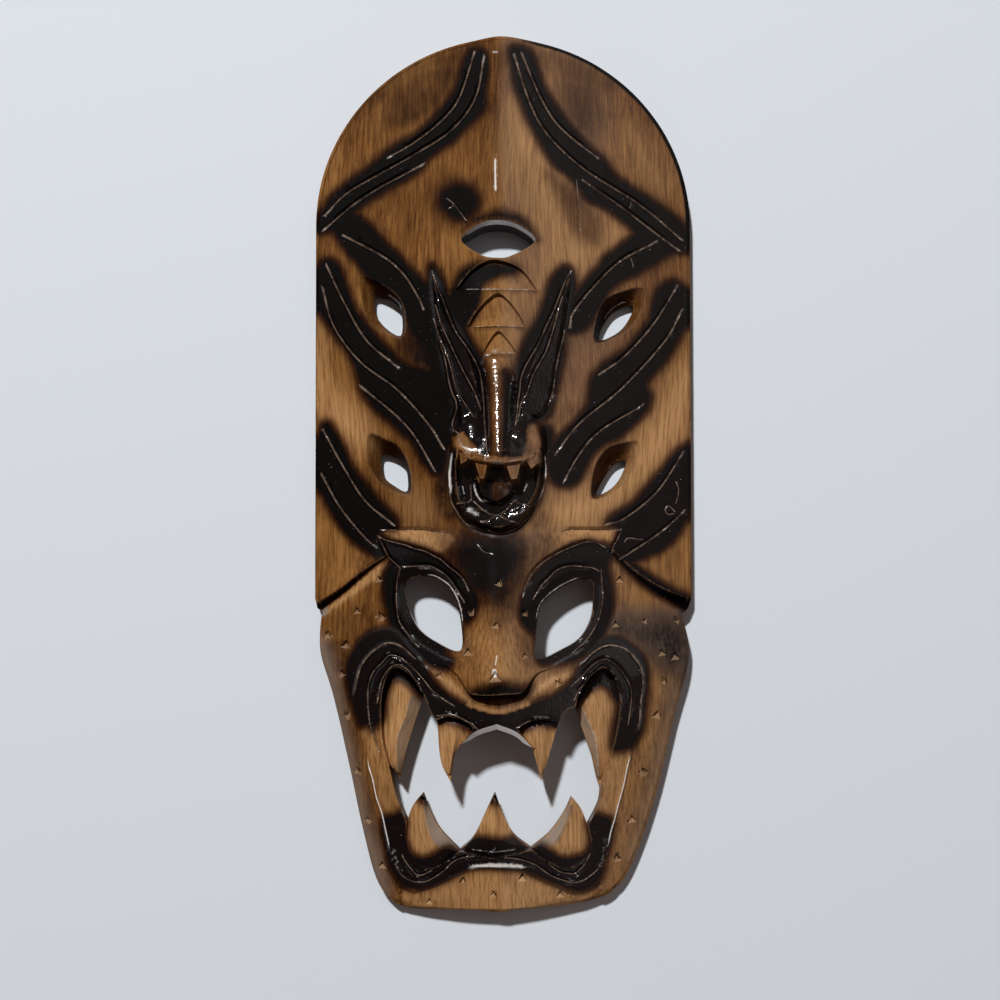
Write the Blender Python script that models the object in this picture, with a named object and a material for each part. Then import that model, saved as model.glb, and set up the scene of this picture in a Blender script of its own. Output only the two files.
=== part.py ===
# A carved wooden wall mask: a tall arched headdress with a dragon's head in relief,
# and a monster's face with an open, fanged mouth below it. It lies on its hollowed back.
# +Z is out of the face, +Y towards the top of the headdress.

import math

import bpy
import numpy as np
from mathutils import Vector
from mathutils.geometry import delaunay_2d_cdt

# Sizes, in metres: heights are above the surface that the mask lies on
height = 0.508
width = 0.220
plateEdge = 0.0115  # the headdress at its sides
plateRidge = 0.0185  # and at its middle ridge
crownPeak = 0.0015  # how far the ridge rises over the arch
rimChamfer = 0.0022
rimChamferDrop = 0.0015
cheekEdge = 0.0125  # the face at its sides
mouthEdge = 0.0115
chinEdge = 0.0100
forehead = 0.0195
noseBridge = 0.0215
cheekTop = 0.0250
noseTip = 0.0410
lipTop = 0.0300  # the face around the foot of the nose
lipArch = 0.0320  # the upper lip, over the mouth
mouthMiddle = 0.0270
lowerLip = 0.0215
chinMiddle = 0.0180
chinTop = 0.0165
snoutTip = 0.0335  # the dragon's nose
snoutMiddle = 0.0268
snoutRoot = 0.0195
dragonBrow = 0.0230
dragonCheek = 0.0285
dragonLip = 0.0300
jawRing = 0.0250
dragonTooth = 0.0280
dragonMouth = 0.0150  # the floor of the dragon's mouth
fangEdge = 0.0150
fangRidge = 0.0195
innerFangEdge = 0.0245
innerFangRidge = 0.0275
lowToothEdge = 0.0155
lowToothRidge = 0.0190
hollowDepth = 0.0110  # the scoop behind the face
hollowRim = 0.0140  # flat wood left around the scoop
hollowSideRun = 0.0380  # run of the scoop's sides, and of its upper end
hollowEndRun = 0.0140

# Cuts and steps of the relief
browBlend = 0.0160  # run from the headdress's form to the face's
flameWidth = 0.0034
flameDepth = 0.0022
hornWidth = 0.0026
hornDepth = 0.0018
hornRise = 0.0035
hornWall = 0.0030
headWall = 0.0040  # run of the slope round the dragon's head
jawWall = 0.0020
stepWall = 0.0010  # run of a steep step
lipGrooveWidth = 0.0036
lipGrooveDepth = 0.0024
browWidth = 0.0060
browDepth = 0.0028
eyeRimWidth = 0.0036
eyeRimDepth = 0.0016
eyeBevel = 0.0030
eyeBevelRun = 0.0060
smallEyeSlope = 0.55  # how much of the thickness the slope beside a small eye takes
notchWidth = 0.0084  # at the side of the mask, where each brow's notch is widest
notchTip = 0.0024
notchDepth = 0.0070
notchTipDepth = 0.0015

# The finer ends of a cut: how much of its length, depth and width
taperRun = 0.20
taperTip = 0.15
taperWidth = 0.50

# The mesh
lineStep = 0.0060
fineStep = 0.0040
plateStep = 0.0135
faceStep = 0.0070
plateBackStep = 0.0300
backStep = 0.0200
rowPitch = math.sqrt(3) / 2  # rows of even triangles
keepOff = 0.55  # how near a line a loose spot may come, in its own steps

# Places in the carving count from the mask's middle, in 433 steps across it and 1000 up it
stepsAcross = 433
stepsUp = 1000
across = width / stepsAcross
up = height / stepsUp
archCentre = height / 2 - crownPeak - width / 2

faceTop = -50  # the finer mesh starts below this
hollowTop = -95  # and the scoop behind the face below this
ridgeAcross = -8  # the middle ridge, and all that is carved on it, is a little left of the middle
ridgeLine = [(ridgeAcross, 500), (ridgeAcross, 290)]
snoutLine = [(ridgeAcross, 150), (ridgeAcross, 8)]
noseLine = [(ridgeAcross, -90), (ridgeAcross, -180), (ridgeAcross, -250)]

faceOutline = [
    (-213, -152), (-211, -163), (-205, -168),
    (-207, -193), (-205, -218), (-191, -263), (-172, -342), (-158, -406), (-143, -461),
    (-127, -486), (-105, -497), (-64, -499), (-28, -499.7),
    (12, -499.5), (64, -495), (105, -487), (128, -473),
    (147, -442), (169, -380), (193, -286), (210, -216), (202, -169), (209, -166), (214, -152),
]

flames = [
    [(-33, 481), (-51, 427), (-73, 399), (-105, 374), (-133, 357)],
    [(-22, 475), (-32, 427), (-60, 389), (-108, 358), (-177, 319), (-205, 291)],
    [(-93, 348), (-142, 323), (-177, 300), (-207, 273)],
    [(22, 478), (44, 427), (66, 393), (110, 356)],
    [(13, 476), (31, 421), (53, 382), (95, 343), (158, 303), (206, 262)],
    [(93, 329), (130, 305), (164, 279), (203, 249)],
    [(-184, 266), (-141, 243), (-116, 222), (-98, 194), (-91, 178)],
    [(175, 258), (135, 236), (102, 203), (80, 174), (77, 160)],
    [(-204, 232), (-183, 188), (-157, 144), (-121, 112)],
    [(-208, 205), (-195, 161), (-164, 119), (-121, 86), (-86, 47), (-67, 17)],
    [(-163, 90), (-123, 57), (-100, 31), (-78, -7)],
    [(200, 206), (173, 163), (140, 126), (111, 104)],
    [(206, 179), (185, 142), (136, 88), (88, 48), (60, 12)],
    [(159, 68), (110, 38), (85, 9), (68, -22)],
    [(-205, 39), (-183, -1), (-157, -41), (-123, -70)],
    [(-207, -11), (-186, -48), (-158, -82), (-143, -95)],
    [(206, 15), (176, -30), (140, -60), (117, -69)],
    [(207, -52), (179, -77), (132, -108)],
]

leftHorn = [
    (-81, 220), (-60, 166), (-34, 121), (-22, 72), (-26, 40),
    (-50, 40), (-53, 64), (-62, 96), (-75, 154),
]
rightHorn = [
    (78, 221), (57, 173), (31, 121), (19, 83), (18, 50),
    (46, 55), (57, 84), (65, 130), (72, 165),
]
hornLines = [
    [(-78, 190), (-57, 129), (-35, 86), (-25, 62)],
    [(-79, 165), (-60, 113), (-49, 77), (-34, 54)],
    [(72, 192), (55, 147), (34, 101), (20, 67)],
]
scales = [
    ([(-55, 196), (-31, 222), (-7, 230), (17, 222), (39, 196)], 0.0030),
    ([(-41, 155), (-24, 184), (-6, 192), (11, 184), (27, 156)], 0.0030),
    ([(-23, 125), (-15, 143), (-6, 150), (6, 142), (17, 126)], 0.0025),
]

lens = [(-48, 259), (-29, 276), (-7, 281), (17, 276), (37, 258), (10, 240), (-7, 237), (-26, 241)]
smallEyes = [
    (
        [(-162, 217), (-163, 195), (-153, 163), (-135, 152), (-114, 147), (-115, 183), (-132, 203)],
        [(-148, 197), (-147, 176), (-134, 159), (-118, 152), (-118, 178), (-130, 191)],
    ),
    (
        [(160, 204), (161, 185), (150, 162), (132, 147), (106, 140), (106, 164), (117, 189), (135, 199)],
        [(150, 187), (147, 173), (134, 156), (112, 146), (116, 163), (129, 180)],
    ),
    (
        [(-153, 34), (-154, 5), (-143, -17), (-129, -29), (-106, -34), (-106, -6), (-117, 18), (-133, 28)],
        [(-139, 12), (-137, -11), (-125, -23), (-110, -29), (-111, -5), (-121, 8)],
    ),
    (
        [(154, 26), (153, 8), (142, -16), (125, -32), (101, -39), (103, -6), (116, 16), (133, 24)],
        [(141, 5), (135, -13), (123, -27), (107, -34), (115, -16), (127, 1)],
    ),
]
bigEyes = [
    [
        (-109, -137), (-97, -128), (-75, -131), (-58, -145), (-49, -168),
        (-47, -210), (-75, -201), (-96, -184), (-107, -158),
    ],
    [
        (100, -134), (83, -133), (59, -145), (42, -162), (37, -190),
        (37, -220), (66, -209), (86, -196), (98, -175), (101, -152),
    ],
]
eyeRims = [
    [(-94, -206), (-113, -184), (-120, -149), (-113, -118), (-85, -117), (-59, -131), (-44, -156)],
    [(78, -214), (100, -191), (111, -154), (106, -121), (80, -117), (55, -126), (34, -153)],
]
brows = [
    [(-140, -83), (-110, -93), (-79, -104), (-53, -123), (-39, -143), (-36, -163)],
    [(120, -98), (92, -89), (57, -104), (36, -120), (26, -139), (22, -154)],
]
notches = [
    [(-130, -106), (-157, -126), (-182, -147), (-206, -164)],
    [(122, -100), (149, -127), (176, -146), (206, -160)],
]

# Each fang or tooth: its sides along the mouth, its root in the wood, and the ridge down its middle
outerFangs = [
    (
        [(-88, -259), (-101, -297), (-110, -328), (-115, -352), (-122, -343), (-127, -338)],
        [(-127, -338), (-134, -310), (-136, -270), (-130, -240), (-120, -229), (-104, -237), (-88, -259)],
        [(-119, -240), (-113, -272), (-119, -310), (-117, -345)],
    ),
    (
        [(109, -364), (105, -354), (99, -327), (89, -299), (80, -272)],
        [
            (80, -272), (84, -258), (96, -240), (112, -230),
            (124, -240), (130, -270), (124, -310), (109, -364),
        ],
        [(110, -240), (105, -272), (111, -310), (107, -345)],
    ),
]
innerFangs = [
    (
        [(-46, -313), (-54, -327), (-58, -355), (-69, -331), (-73, -287)],
        [(-73, -287), (-62, -283), (-46, -286), (-33, -297), (-46, -313)],
        [(-56, -292), (-59, -345)],
    ),
    (
        [(61, -290), (52, -322), (42, -354), (37, -334), (32, -317)],
        [(32, -317), (17, -298), (30, -288), (47, -286), (61, -290)],
        [(43, -294), (43, -345)],
    ),
]
lowerTeeth = [
    (
        [(-107, -400), (-101, -384), (-89, -369), (-82, -386), (-70, -408), (-48, -432)],
        [(-48, -432), (-62, -443), (-80, -452), (-97, -446), (-108, -426), (-107, -400)],
        [(-88, -378), (-84, -404), (-78, -440)],
    ),
    (
        [(-48, -432), (-32, -416), (-19, -389), (-9, -368), (-1, -390), (11, -413), (31, -430)],
        [(31, -430), (-9, -439), (-48, -432)],
        [(-9, -376), (-9, -428)],
    ),
    (
        [(31, -430), (51, -413), (67, -391), (76, -373), (87, -387), (94, -404)],
        [(94, -404), (98, -426), (90, -442), (72, -451), (50, -444), (31, -430)],
        [(76, -382), (73, -410), (70, -438)],
    ),
]
# The rest of the mouth's edge: the gaps beside the fangs, the lips and the arch of the upper lip
leftGap = [(-127, -338), (-119, -371), (-107, -400)]
rightGap = [(94, -404), (106, -381), (109, -364)]
rightLip = [(80, -272), (69, -277), (61, -290)]
leftLip = [(-73, -287), (-79, -280), (-88, -259)]
arch = [(32, -317), (15, -300), (-7, -291), (-30, -299), (-46, -313)]
noseEdge = [
    (-66, -228), (-52, -238), (-39, -257), (-25, -261),
    (5, -260), (23, -257), (37, -238), (59, -230), (78, -226),
]
lipGrooves = [
    [
        (-164, -269), (-160, -234), (-140, -208), (-121, -203),
        (-103, -215), (-76, -247), (-44, -268), (-9, -270),
    ],
    [
        (143, -309), (154, -271), (153, -228), (137, -210), (117, -205),
        (99, -214), (71, -247), (47, -258), (-9, -270),
    ],
    [(-149, -289), (-151, -255), (-140, -227), (-127, -213), (-107, -224), (-78, -255), (-55, -272)],
    [(139, -292), (142, -255), (128, -229), (112, -220), (99, -227), (77, -249), (55, -272)],
    [(-153, -322), (-141, -374), (-130, -409), (-125, -440)],
    [(143, -316), (134, -359), (120, -410), (113, -438)],
    [
        (-117, -449), (-96, -466), (-66, -454), (-38, -440), (5, -442),
        (34, -448), (65, -463), (87, -465), (107, -448),
    ],
]

dragonHalf = 62
dragonHead = [
    (-7, 60), (-28, 56), (-50, 50), (-60, 22), (-60, -21), (-53, -54), (-32, -74),
    (-2, -81), (24, -68), (41, -38), (49, 1), (48, 40), (25, 56),
]
dragonJaws = [
    (-50, 12), (-36, 2), (-7, -4), (22, -2), (39, 10), (38, -26),
    (28, -43), (12, -55), (-7, -60), (-26, -55), (-43, -45), (-51, -31),
]
dragonTeeth = [
    [(-46, 8), (-50, -8), (-38, -6), (-34, 1)],
    [(-34, 1), (-31, -14), (-22, -23), (-16, -3)],
    [(0, -3), (8, -21), (18, -16), (22, -3)],
    [(23, -2), (36, -14), (40, 0), (34, 6)],
]

woodColour = (0.23, 0.105, 0.040, 1)


def place(points):
    return np.array(points, float) * (across, up)


def smooth(points, step, closed=False):
    """A curve through the points, as a polyline with about this step."""
    if closed:
        run = np.vstack([points[-1:], points, points[:2]])
    else:
        run = np.vstack([2 * points[:1] - points[1:2], points, 2 * points[-1:] - points[-2:-1]])
    pieces = []
    for a, b, c, d in zip(run, run[1:], run[2:], run[3:]):
        count = max(1, round(np.linalg.norm(c - b) / step))
        t = np.arange(count)[:, None] / count
        bend = (2 * a - 5 * b + 4 * c - d) * t**2
        twist = (3 * b - a - 3 * c + d) * t**3
        pieces.append((2 * b + (c - a) * t + bend + twist) / 2)
    if not closed:
        pieces.append(points[-1:])
    return np.vstack(pieces)


def sharpRun(points, step):
    """A curve like smooth's, but with a corner at its farthest point from its ends, as a tooth has."""
    spots = place(points)
    if len(spots) < 5:
        return smooth(spots, step)
    chord = (spots[-1] - spots[0]) / np.linalg.norm(spots[-1] - spots[0])
    away = spots - spots[0]
    tip = np.abs(away[:, 0] * chord[1] - away[:, 1] * chord[0]).argmax()
    return np.vstack([smooth(spots[: tip + 1], step)[:-1], smooth(spots[tip:], step)])


def closedRun(line):
    return np.vstack([line, line[:1]])


def measure(spots, line):
    """Each spot's distance to a polyline, and how far along it the nearest place is, from 0 to 1."""
    start = line[:-1]
    run = line[1:] - start
    length = np.linalg.norm(run, axis=1)
    before = np.concatenate([[0], np.cumsum(length)])
    offset = spots[:, None] - start
    t = np.clip((offset * run).sum(-1) / length**2, 0, 1)
    gap = np.linalg.norm(offset - t[..., None] * run, axis=-1)
    nearest = gap.argmin(1)
    rows = np.arange(len(spots))
    along = (before[nearest] + t[rows, nearest] * length[nearest]) / before[-1]
    return gap[rows, nearest], along


def within(spots, loop):
    a = loop
    b = np.roll(loop, -1, axis=0)
    x, y = spots[:, 0, None], spots[:, 1, None]
    spans = (a[:, 1] > y) != (b[:, 1] > y)
    rise = np.where(b[:, 1] == a[:, 1], 1, b[:, 1] - a[:, 1])
    crossing = a[:, 0] + (y - a[:, 1]) * (b[:, 0] - a[:, 0]) / rise
    return (spans & (x < crossing)).sum(1) % 2 == 1


def depthInside(spots, loop):
    """How far each spot is inside a closed curve: 0 outside it."""
    return np.where(within(spots, loop), measure(spots, closedRun(loop))[0], 0)


def ease(t):
    t = np.clip(t, 0, 1)
    return t * t * (3 - 2 * t)


def outlineLoop(step):
    radius = width / 2
    turns = np.linspace(0, math.pi, 2 * round(math.pi * radius / step / 2) + 1)
    arch = np.stack([radius * np.cos(turns), archCentre + radius * np.sin(turns)], 1)
    arch[:, 1] += crownPeak * np.exp(-((arch[:, 0] / (width / 18)) ** 2))
    face = place(faceOutline)
    sides = np.linspace(archCentre, face[0, 1], round((archCentre - face[0, 1]) / step))[1:-1]
    left = np.stack([np.linspace(-radius, face[0, 0], len(sides)), sides], 1)
    right = np.stack([np.linspace(radius, face[-1, 0], len(sides)), sides], 1)
    jaw = smooth(face[2:-2], step)
    return np.vstack([arch, left, face[:2], jaw, face[-2:], right[::-1]])


def mouthLoop(step):
    lower = [tooth[0] for tooth in lowerTeeth]
    left, right = (fang[0] for fang in outerFangs)
    leftInner, rightInner = (fang[0] for fang in innerFangs)
    upper = [right, rightLip, rightInner, arch, leftInner, leftLip, left]
    return np.vstack([sharpRun(piece, step)[:-1] for piece in [leftGap] + lower + [rightGap] + upper])


def openings(step):
    holes = [smooth(place(lens), step, True), mouthLoop(step)]
    holes += [smooth(place(hole), step, True) for front, hole in smallEyes]
    holes += [smooth(place(eye), step, True) for eye in bigEyes]
    return holes


def plateHeight(spots):
    aside = np.abs(spots[:, 0] - ridgeAcross * across) / (width / 2)
    return plateRidge - (plateRidge - plateEdge) * np.clip(aside, 0, 1)


def faceHeight(spots):
    y = spots[:, 1] / up
    rows = [-500, -470, -420, -345, -290, -240, -180, -120, -75]
    lower = [chinTop, chinMiddle, lowerLip, mouthMiddle, lipArch]
    middle = lower + [lipTop, cheekTop, noseBridge, forehead]
    side = [chinEdge] * 3 + [mouthEdge] * 2 + [cheekEdge] * 3 + [plateEdge]
    outer = place(faceOutline)
    leftSide = outer[outer[:, 0] < 0][2:]
    rightSide = outer[outer[:, 0] > 0][:-2]
    reach = np.where(
        spots[:, 0] < 0,
        -np.interp(spots[:, 1], leftSide[::-1, 1], leftSide[::-1, 0]),
        np.interp(spots[:, 1], rightSide[:, 1], rightSide[:, 0]),
    )
    aside = np.clip(np.abs(spots[:, 0]) / reach, 0, 1)
    top = np.interp(y, rows, middle)
    edge = np.interp(y, rows, side)
    return edge + (top - edge) * (1 - aside**2.2)


def browLine(x):
    turns = place([(-210, -166), (-145, -90), (-60, -76), (60, -76), (125, -88), (210, -162)])
    return np.interp(x, turns[:, 0], turns[:, 1])


def groove(spots, z, points, wide, deep):
    """A V-shaped cut along a line, finer at its ends."""
    gap, along = measure(spots, smooth(place(points), lineStep))
    taper = np.clip(np.minimum(along, 1 - along) / taperRun, taperTip, 1)
    return z - deep * taper * np.clip(1 - gap / (wide / 2 * np.maximum(taper, taperWidth)), 0, 1)


def roof(spots, z, tooth, low, high):
    """A fang with sharp sides at one height and a ridge at another, set into the wood at its root."""
    sides = sharpRun(tooth[0], fineStep)
    root = smooth(place(tooth[1]), fineStep)
    toSides = measure(spots, sides)[0]
    toRoot = measure(spots, root)[0]
    toRidge = measure(spots, smooth(place(tooth[2]), fineStep))[0]
    toRim = np.minimum(toSides, toRoot)
    shape = low + (high - low) * toRim / (toRim + toRidge + 1e-9)
    inside = within(spots, np.vstack([sides[:-1], root[:-1]])) | (toSides < 1e-5)
    return np.where(inside, z + (shape - z) * np.clip(toRoot / stepWall, 0, 1), z)


def carveDragon(spots, z):
    x = spots[:, 0] / across - ridgeAcross
    y = spots[:, 1] / up
    rows = [10, 72, 110, 150]
    wide = np.interp(y, rows, [16, 18, 17, 10])
    crown = np.interp(y, [rows[0], rows[1], rows[-1]], [snoutTip, snoutMiddle, snoutRoot])
    snout = z + (crown - z) * np.sqrt(np.clip(1 - (x / wide) ** 2, 0, 1))
    z = np.where((y < rows[-1]) & (y > 0), np.maximum(z, snout), z)
    head = smooth(place(dragonHead), fineStep, True)
    rows = [-85, -20, -3, 5, 25, 50, 66]
    crown = [jawRing, jawRing, dragonLip, dragonLip, dragonCheek, dragonBrow, forehead]
    crown = np.interp(y, rows, crown)
    bulge = np.clip(1 - (x / dragonHalf) ** 2, 0, 1) ** 0.35
    skin = z + (crown - z) * bulge * ease(depthInside(spots, head) / headWall)
    z = np.maximum(z, skin)
    jaws = smooth(place(dragonJaws), fineStep, True)
    cut = depthInside(spots, jaws)
    z = z - (z - dragonMouth) * np.clip(cut / jawWall, 0, 1)
    for tooth in dragonTeeth:
        rim = smooth(place(tooth), fineStep, True)
        z = z + (dragonTooth - z) * np.clip(depthInside(spots, rim) / stepWall, 0, 1)
    return z


def carveHorns(spots, z):
    for horn in (leftHorn, rightHorn):
        z = z + hornRise * ease(depthInside(spots, smooth(place(horn), lineStep, True)) / hornWall)
    for line in hornLines:
        z = groove(spots, z, line, hornWidth, hornDepth)
    return z


def carveScales(spots, z):
    for arc, deep in scales:
        top = smooth(place(arc), fineStep)
        toArc = measure(spots, top)[0]
        toBase = measure(spots, top[[0, -1]])[0]
        cut = deep * toBase / (toArc + toBase + 1e-9) * np.clip(toArc / stepWall, 0, 1)
        z = np.where(within(spots, top), z - cut, z)
    return z


def carveSmallEyes(spots, z):
    for front, hole in smallEyes:
        rim = smooth(place(front), fineStep, True)
        toRim = measure(spots, closedRun(rim))[0]
        toHole = measure(spots, closedRun(smooth(place(hole), fineStep, True)))[0]
        slope = toRim / (toRim + toHole + 1e-9)
        z = np.where(within(spots, rim), z * (1 - smallEyeSlope * slope), z)
    return z


def carveBrows(spots, z):
    for eye, rim, brow in zip(bigEyes, eyeRims, brows):
        toEye = measure(spots, closedRun(smooth(place(eye), fineStep, True)))[0]
        z = z - eyeBevel * np.clip(1 - toEye / eyeBevelRun, 0, 1)
        z = groove(spots, z, rim, eyeRimWidth, eyeRimDepth)
        z = groove(spots, z, brow, browWidth, browDepth)
    for notch in notches:
        gap, along = measure(spots, smooth(place(notch), lineStep))
        wide = notchTip + (notchWidth - notchTip) * along
        deep = notchTipDepth + (notchDepth - notchTipDepth) * along
        z = z - deep * np.clip(1 - 2 * gap / wide, 0, 1)
    return z


def carveNose(spots, z):
    x = spots[:, 0] / across - ridgeAcross
    y = spots[:, 1] / up
    rows = [-262, -240, -190, -130, -85]
    wide = np.interp(y, rows, [40, 36, 26, 20, 16])
    rise = np.interp(y, rows, [0.8, 1.0, 0.72, 0.35, 0])
    bump = (noseTip - lipTop) * rise * np.exp(-((x / wide) ** 2))
    edge = smooth(place(noseEdge), fineStep)
    under = np.interp(spots[:, 0], edge[:, 0], edge[:, 1])
    above = np.clip((spots[:, 1] - under) / stepWall, 0, 1)
    return z + bump * above


def carveLips(spots, z):
    for line in lipGrooves:
        z = groove(spots, z, line, lipGrooveWidth, lipGrooveDepth)
    return z


def carveTeeth(spots, z):
    for tooth in outerFangs:
        z = roof(spots, z, tooth, fangEdge, fangRidge)
    for tooth in innerFangs:
        z = roof(spots, z, tooth, innerFangEdge, innerFangRidge)
    for tooth in lowerTeeth:
        z = roof(spots, z, tooth, lowToothEdge, lowToothRidge)
    return z


def frontHeight(spots):
    below = ease((browLine(spots[:, 0]) - spots[:, 1]) / browBlend + 0.3)
    z = plateHeight(spots) * (1 - below) + faceHeight(spots) * below
    for line in flames:
        z = groove(spots, z, line, flameWidth, flameDepth)
    z = carveHorns(spots, z)
    z = carveScales(spots, z)
    z = carveDragon(spots, z)
    z = carveSmallEyes(spots, z)
    z = carveBrows(spots, z)
    z = carveNose(spots, z)
    z = carveLips(spots, z)
    z = carveTeeth(spots, z)
    toEdge = measure(spots, closedRun(outlineLoop(lineStep)))[0]
    return z - rimChamferDrop * np.clip(1 - toEdge / rimChamfer, 0, 1)


def backHeight(spots):
    """The scoop behind the face, from the flat rim that the mask lies on."""
    outer = outlineLoop(lineStep)
    inward = measure(spots, closedRun(outer))[0] - hollowRim
    below = hollowTop * up - spots[:, 1]
    return hollowDepth * ease(np.minimum(inward / hollowSideRun, below / hollowEndRun))


def inset(loop, away):
    """A closed curve moved inwards."""
    run = np.roll(loop, -1, axis=0) - np.roll(loop, 1, axis=0)
    run /= np.linalg.norm(run, axis=1)[:, None]
    area = (loop[:, 0] * np.roll(loop[:, 1], -1) - np.roll(loop[:, 0], -1) * loop[:, 1]).sum()
    return loop + math.copysign(away, area) * np.stack([-run[:, 1], run[:, 0]], 1)


def offset(line, away):
    run = np.gradient(line, axis=0)
    run /= np.linalg.norm(run, axis=1)[:, None]
    return line + away * np.stack([-run[:, 1], run[:, 0]], 1)


def guideLines():
    """Lines of the carving that the mesh follows, so that its edges stay sharp."""
    lines = [smooth(place(ridgeLine), plateStep)]
    cuts = [(line, flameWidth) for line in flames]
    cuts += [(line, lipGrooveWidth) for line in lipGrooves]
    cuts += [(line, browWidth) for line in brows] + [(line, notchWidth) for line in notches]
    for points, wide in cuts:
        line = smooth(place(points), lineStep)
        lines += [line, offset(line, wide / 2), offset(line, -wide / 2)]
    lines += [smooth(place(line), lineStep) for line in hornLines + eyeRims]
    for points, wall in ((leftHorn, hornWall), (rightHorn, hornWall), (dragonHead, headWall)):
        loop = smooth(place(points), lineStep, True)
        lines += [closedRun(loop), closedRun(inset(loop, wall))]
    loop = smooth(place(dragonJaws), fineStep, True)
    lines += [closedRun(loop), closedRun(inset(loop, jawWall)), place(snoutLine)]
    for points in dragonTeeth:
        loop = smooth(place(points), fineStep, True)
        lines += [closedRun(loop), closedRun(inset(loop, stepWall))]
    for arc, deep in scales:
        top = smooth(place(arc), lineStep)
        lines += [closedRun(top), offset(top, -stepWall)]
    lines += [closedRun(smooth(place(front), lineStep, True)) for front, hole in smallEyes]
    for sides, root, spine in outerFangs + innerFangs + lowerTeeth:
        line = smooth(place(root), fineStep)
        lines += [line, offset(line, -stepWall), smooth(place(spine), fineStep)]
    edge = smooth(place(noseEdge), fineStep)
    lines += [edge, offset(edge, stepWall), place(noseLine)]
    lines.append(closedRun(inset(outlineLoop(lineStep), rimChamfer)))
    return lines


def infill(loops, lines, steps):
    """Evenly spread spots inside the outline, kept off the lines."""
    taken = np.vstack(loops + lines)
    plate, face = steps
    found = []
    for step, low, high in ((plate, faceTop * up, height / 2), (face, -height / 2, faceTop * up)):
        spots = []
        for row, y in enumerate(np.arange(low, high, step * rowPitch)):
            shift = step / 2 * (row % 2)
            spots += [(x + shift, y) for x in np.arange(-width / 2, width / 2, step)]
        group = np.array(spots)
        gap = np.sqrt(((group[:, None] - taken) ** 2).sum(-1)).min(1)
        found.append(group[(gap > keepOff * step) & within(group, loops[0])])
    return np.vstack(found)


def triangulate(loops, lines, spots):
    """Triangles between the outline, the openings and the guide lines, with the places given first."""
    points = []
    edges = []
    for loop in loops:
        first = len(points)
        points += list(loop)
        edges += [(first + i, first + (i + 1) % len(loop)) for i in range(len(loop))]
    outer = loops[0]
    for line in lines:
        keep = within(line, outer)
        for hole in loops[1:]:
            keep &= ~within(line, hole)
        first = len(points)
        points += list(line)
        edges += [(first + i, first + i + 1) for i in range(len(line) - 1) if keep[i] or keep[i + 1]]
    points += list(spots)
    result = delaunay_2d_cdt([Vector(p) for p in points], edges, [], 0, 2e-5)
    places = np.array([tuple(v) for v in result[0]])
    faces = np.array([face for face in result[2] if len(face) == 3])
    middle = places[faces].mean(1)
    keep = within(middle, outer)
    for hole in loops[1:]:
        keep &= ~within(middle, hole)
    faces = faces[keep]
    a, b, c = places[faces[:, 0]], places[faces[:, 1]], places[faces[:, 2]]
    turn = (b[:, 0] - a[:, 0]) * (c[:, 1] - a[:, 1]) - (b[:, 1] - a[:, 1]) * (c[:, 0] - a[:, 0])
    faces[turn < 0] = faces[turn < 0][:, ::-1]
    used = np.unique(faces)
    renumber = np.full(len(places), -1)
    renumber[used] = np.arange(len(used))
    return places[used], renumber[faces]


def borderEdges(faces):
    """The edges with a face on one side only, each with that face on its left."""
    ends = np.concatenate([faces[:, [0, 1]], faces[:, [1, 2]], faces[:, [2, 0]]])
    known = {(a, b) for a, b in ends.tolist()}
    return [(a, b) for a, b in ends.tolist() if (b, a) not in known]


def buildMask():
    loops = [outlineLoop(lineStep)] + openings(fineStep)
    lines = guideLines()
    spots = infill(loops, lines, (plateStep, faceStep))
    places, faces = triangulate(loops, lines, spots)
    border = borderEdges(faces)
    rings = {a: b for a, b in border}
    rim = list(rings)
    backLoops = []
    while rings:
        start, following = rings.popitem()
        ring = [start]
        while following != start:
            ring.append(following)
            following = rings.pop(following)
        backLoops.append(ring)
    backLoops.sort(key=len, reverse=True)
    backLoops.sort(key=lambda ring: -np.ptp(places[ring][:, 1]))
    backEdges = [places[ring] for ring in backLoops]
    backPlaces, backFaces = triangulate(backEdges, [], infill(backEdges, [], (plateBackStep, backStep)))
    front = np.column_stack([places, frontHeight(places)])
    back = np.column_stack([backPlaces, backHeight(backPlaces)])
    nearest = {tuple(np.round(p, 7)): i for i, p in enumerate(backPlaces)}
    under = {i: len(front) + nearest[tuple(np.round(places[i], 7))] for i in rim}
    triangles = [tuple(face) for face in faces.tolist()]
    triangles += [tuple(len(front) + i for i in face[::-1]) for face in backFaces.tolist()]
    for a, b in border:
        triangles.append((b, a, under[a]))
        triangles.append((b, under[a], under[b]))
    mesh = bpy.data.meshes.new("mask")
    mesh.from_pydata(np.vstack([front, back]).tolist(), [], triangles)
    mesh.validate()
    return mesh


def woodMaterial():
    material = bpy.data.materials.new("lacquered wood")
    material.use_nodes = True
    shader = material.node_tree.nodes["Principled BSDF"]
    shader.inputs["Base Color"].default_value = woodColour
    shader.inputs["Roughness"].default_value = 0.35
    shader.inputs["Metallic"].default_value = 0
    return material


for old in list(bpy.data.objects):
    bpy.data.objects.remove(old)

mask = bpy.data.objects.new("mask", buildMask())
mask.data.materials.append(woodMaterial())
bpy.context.scene.collection.objects.link(mask)
print("triangles", len(mask.data.polygons))
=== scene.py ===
import math

import bpy
import numpy as np
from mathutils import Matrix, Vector, kdtree, noise
from mathutils.geometry import delaunay_2d_cdt


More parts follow.
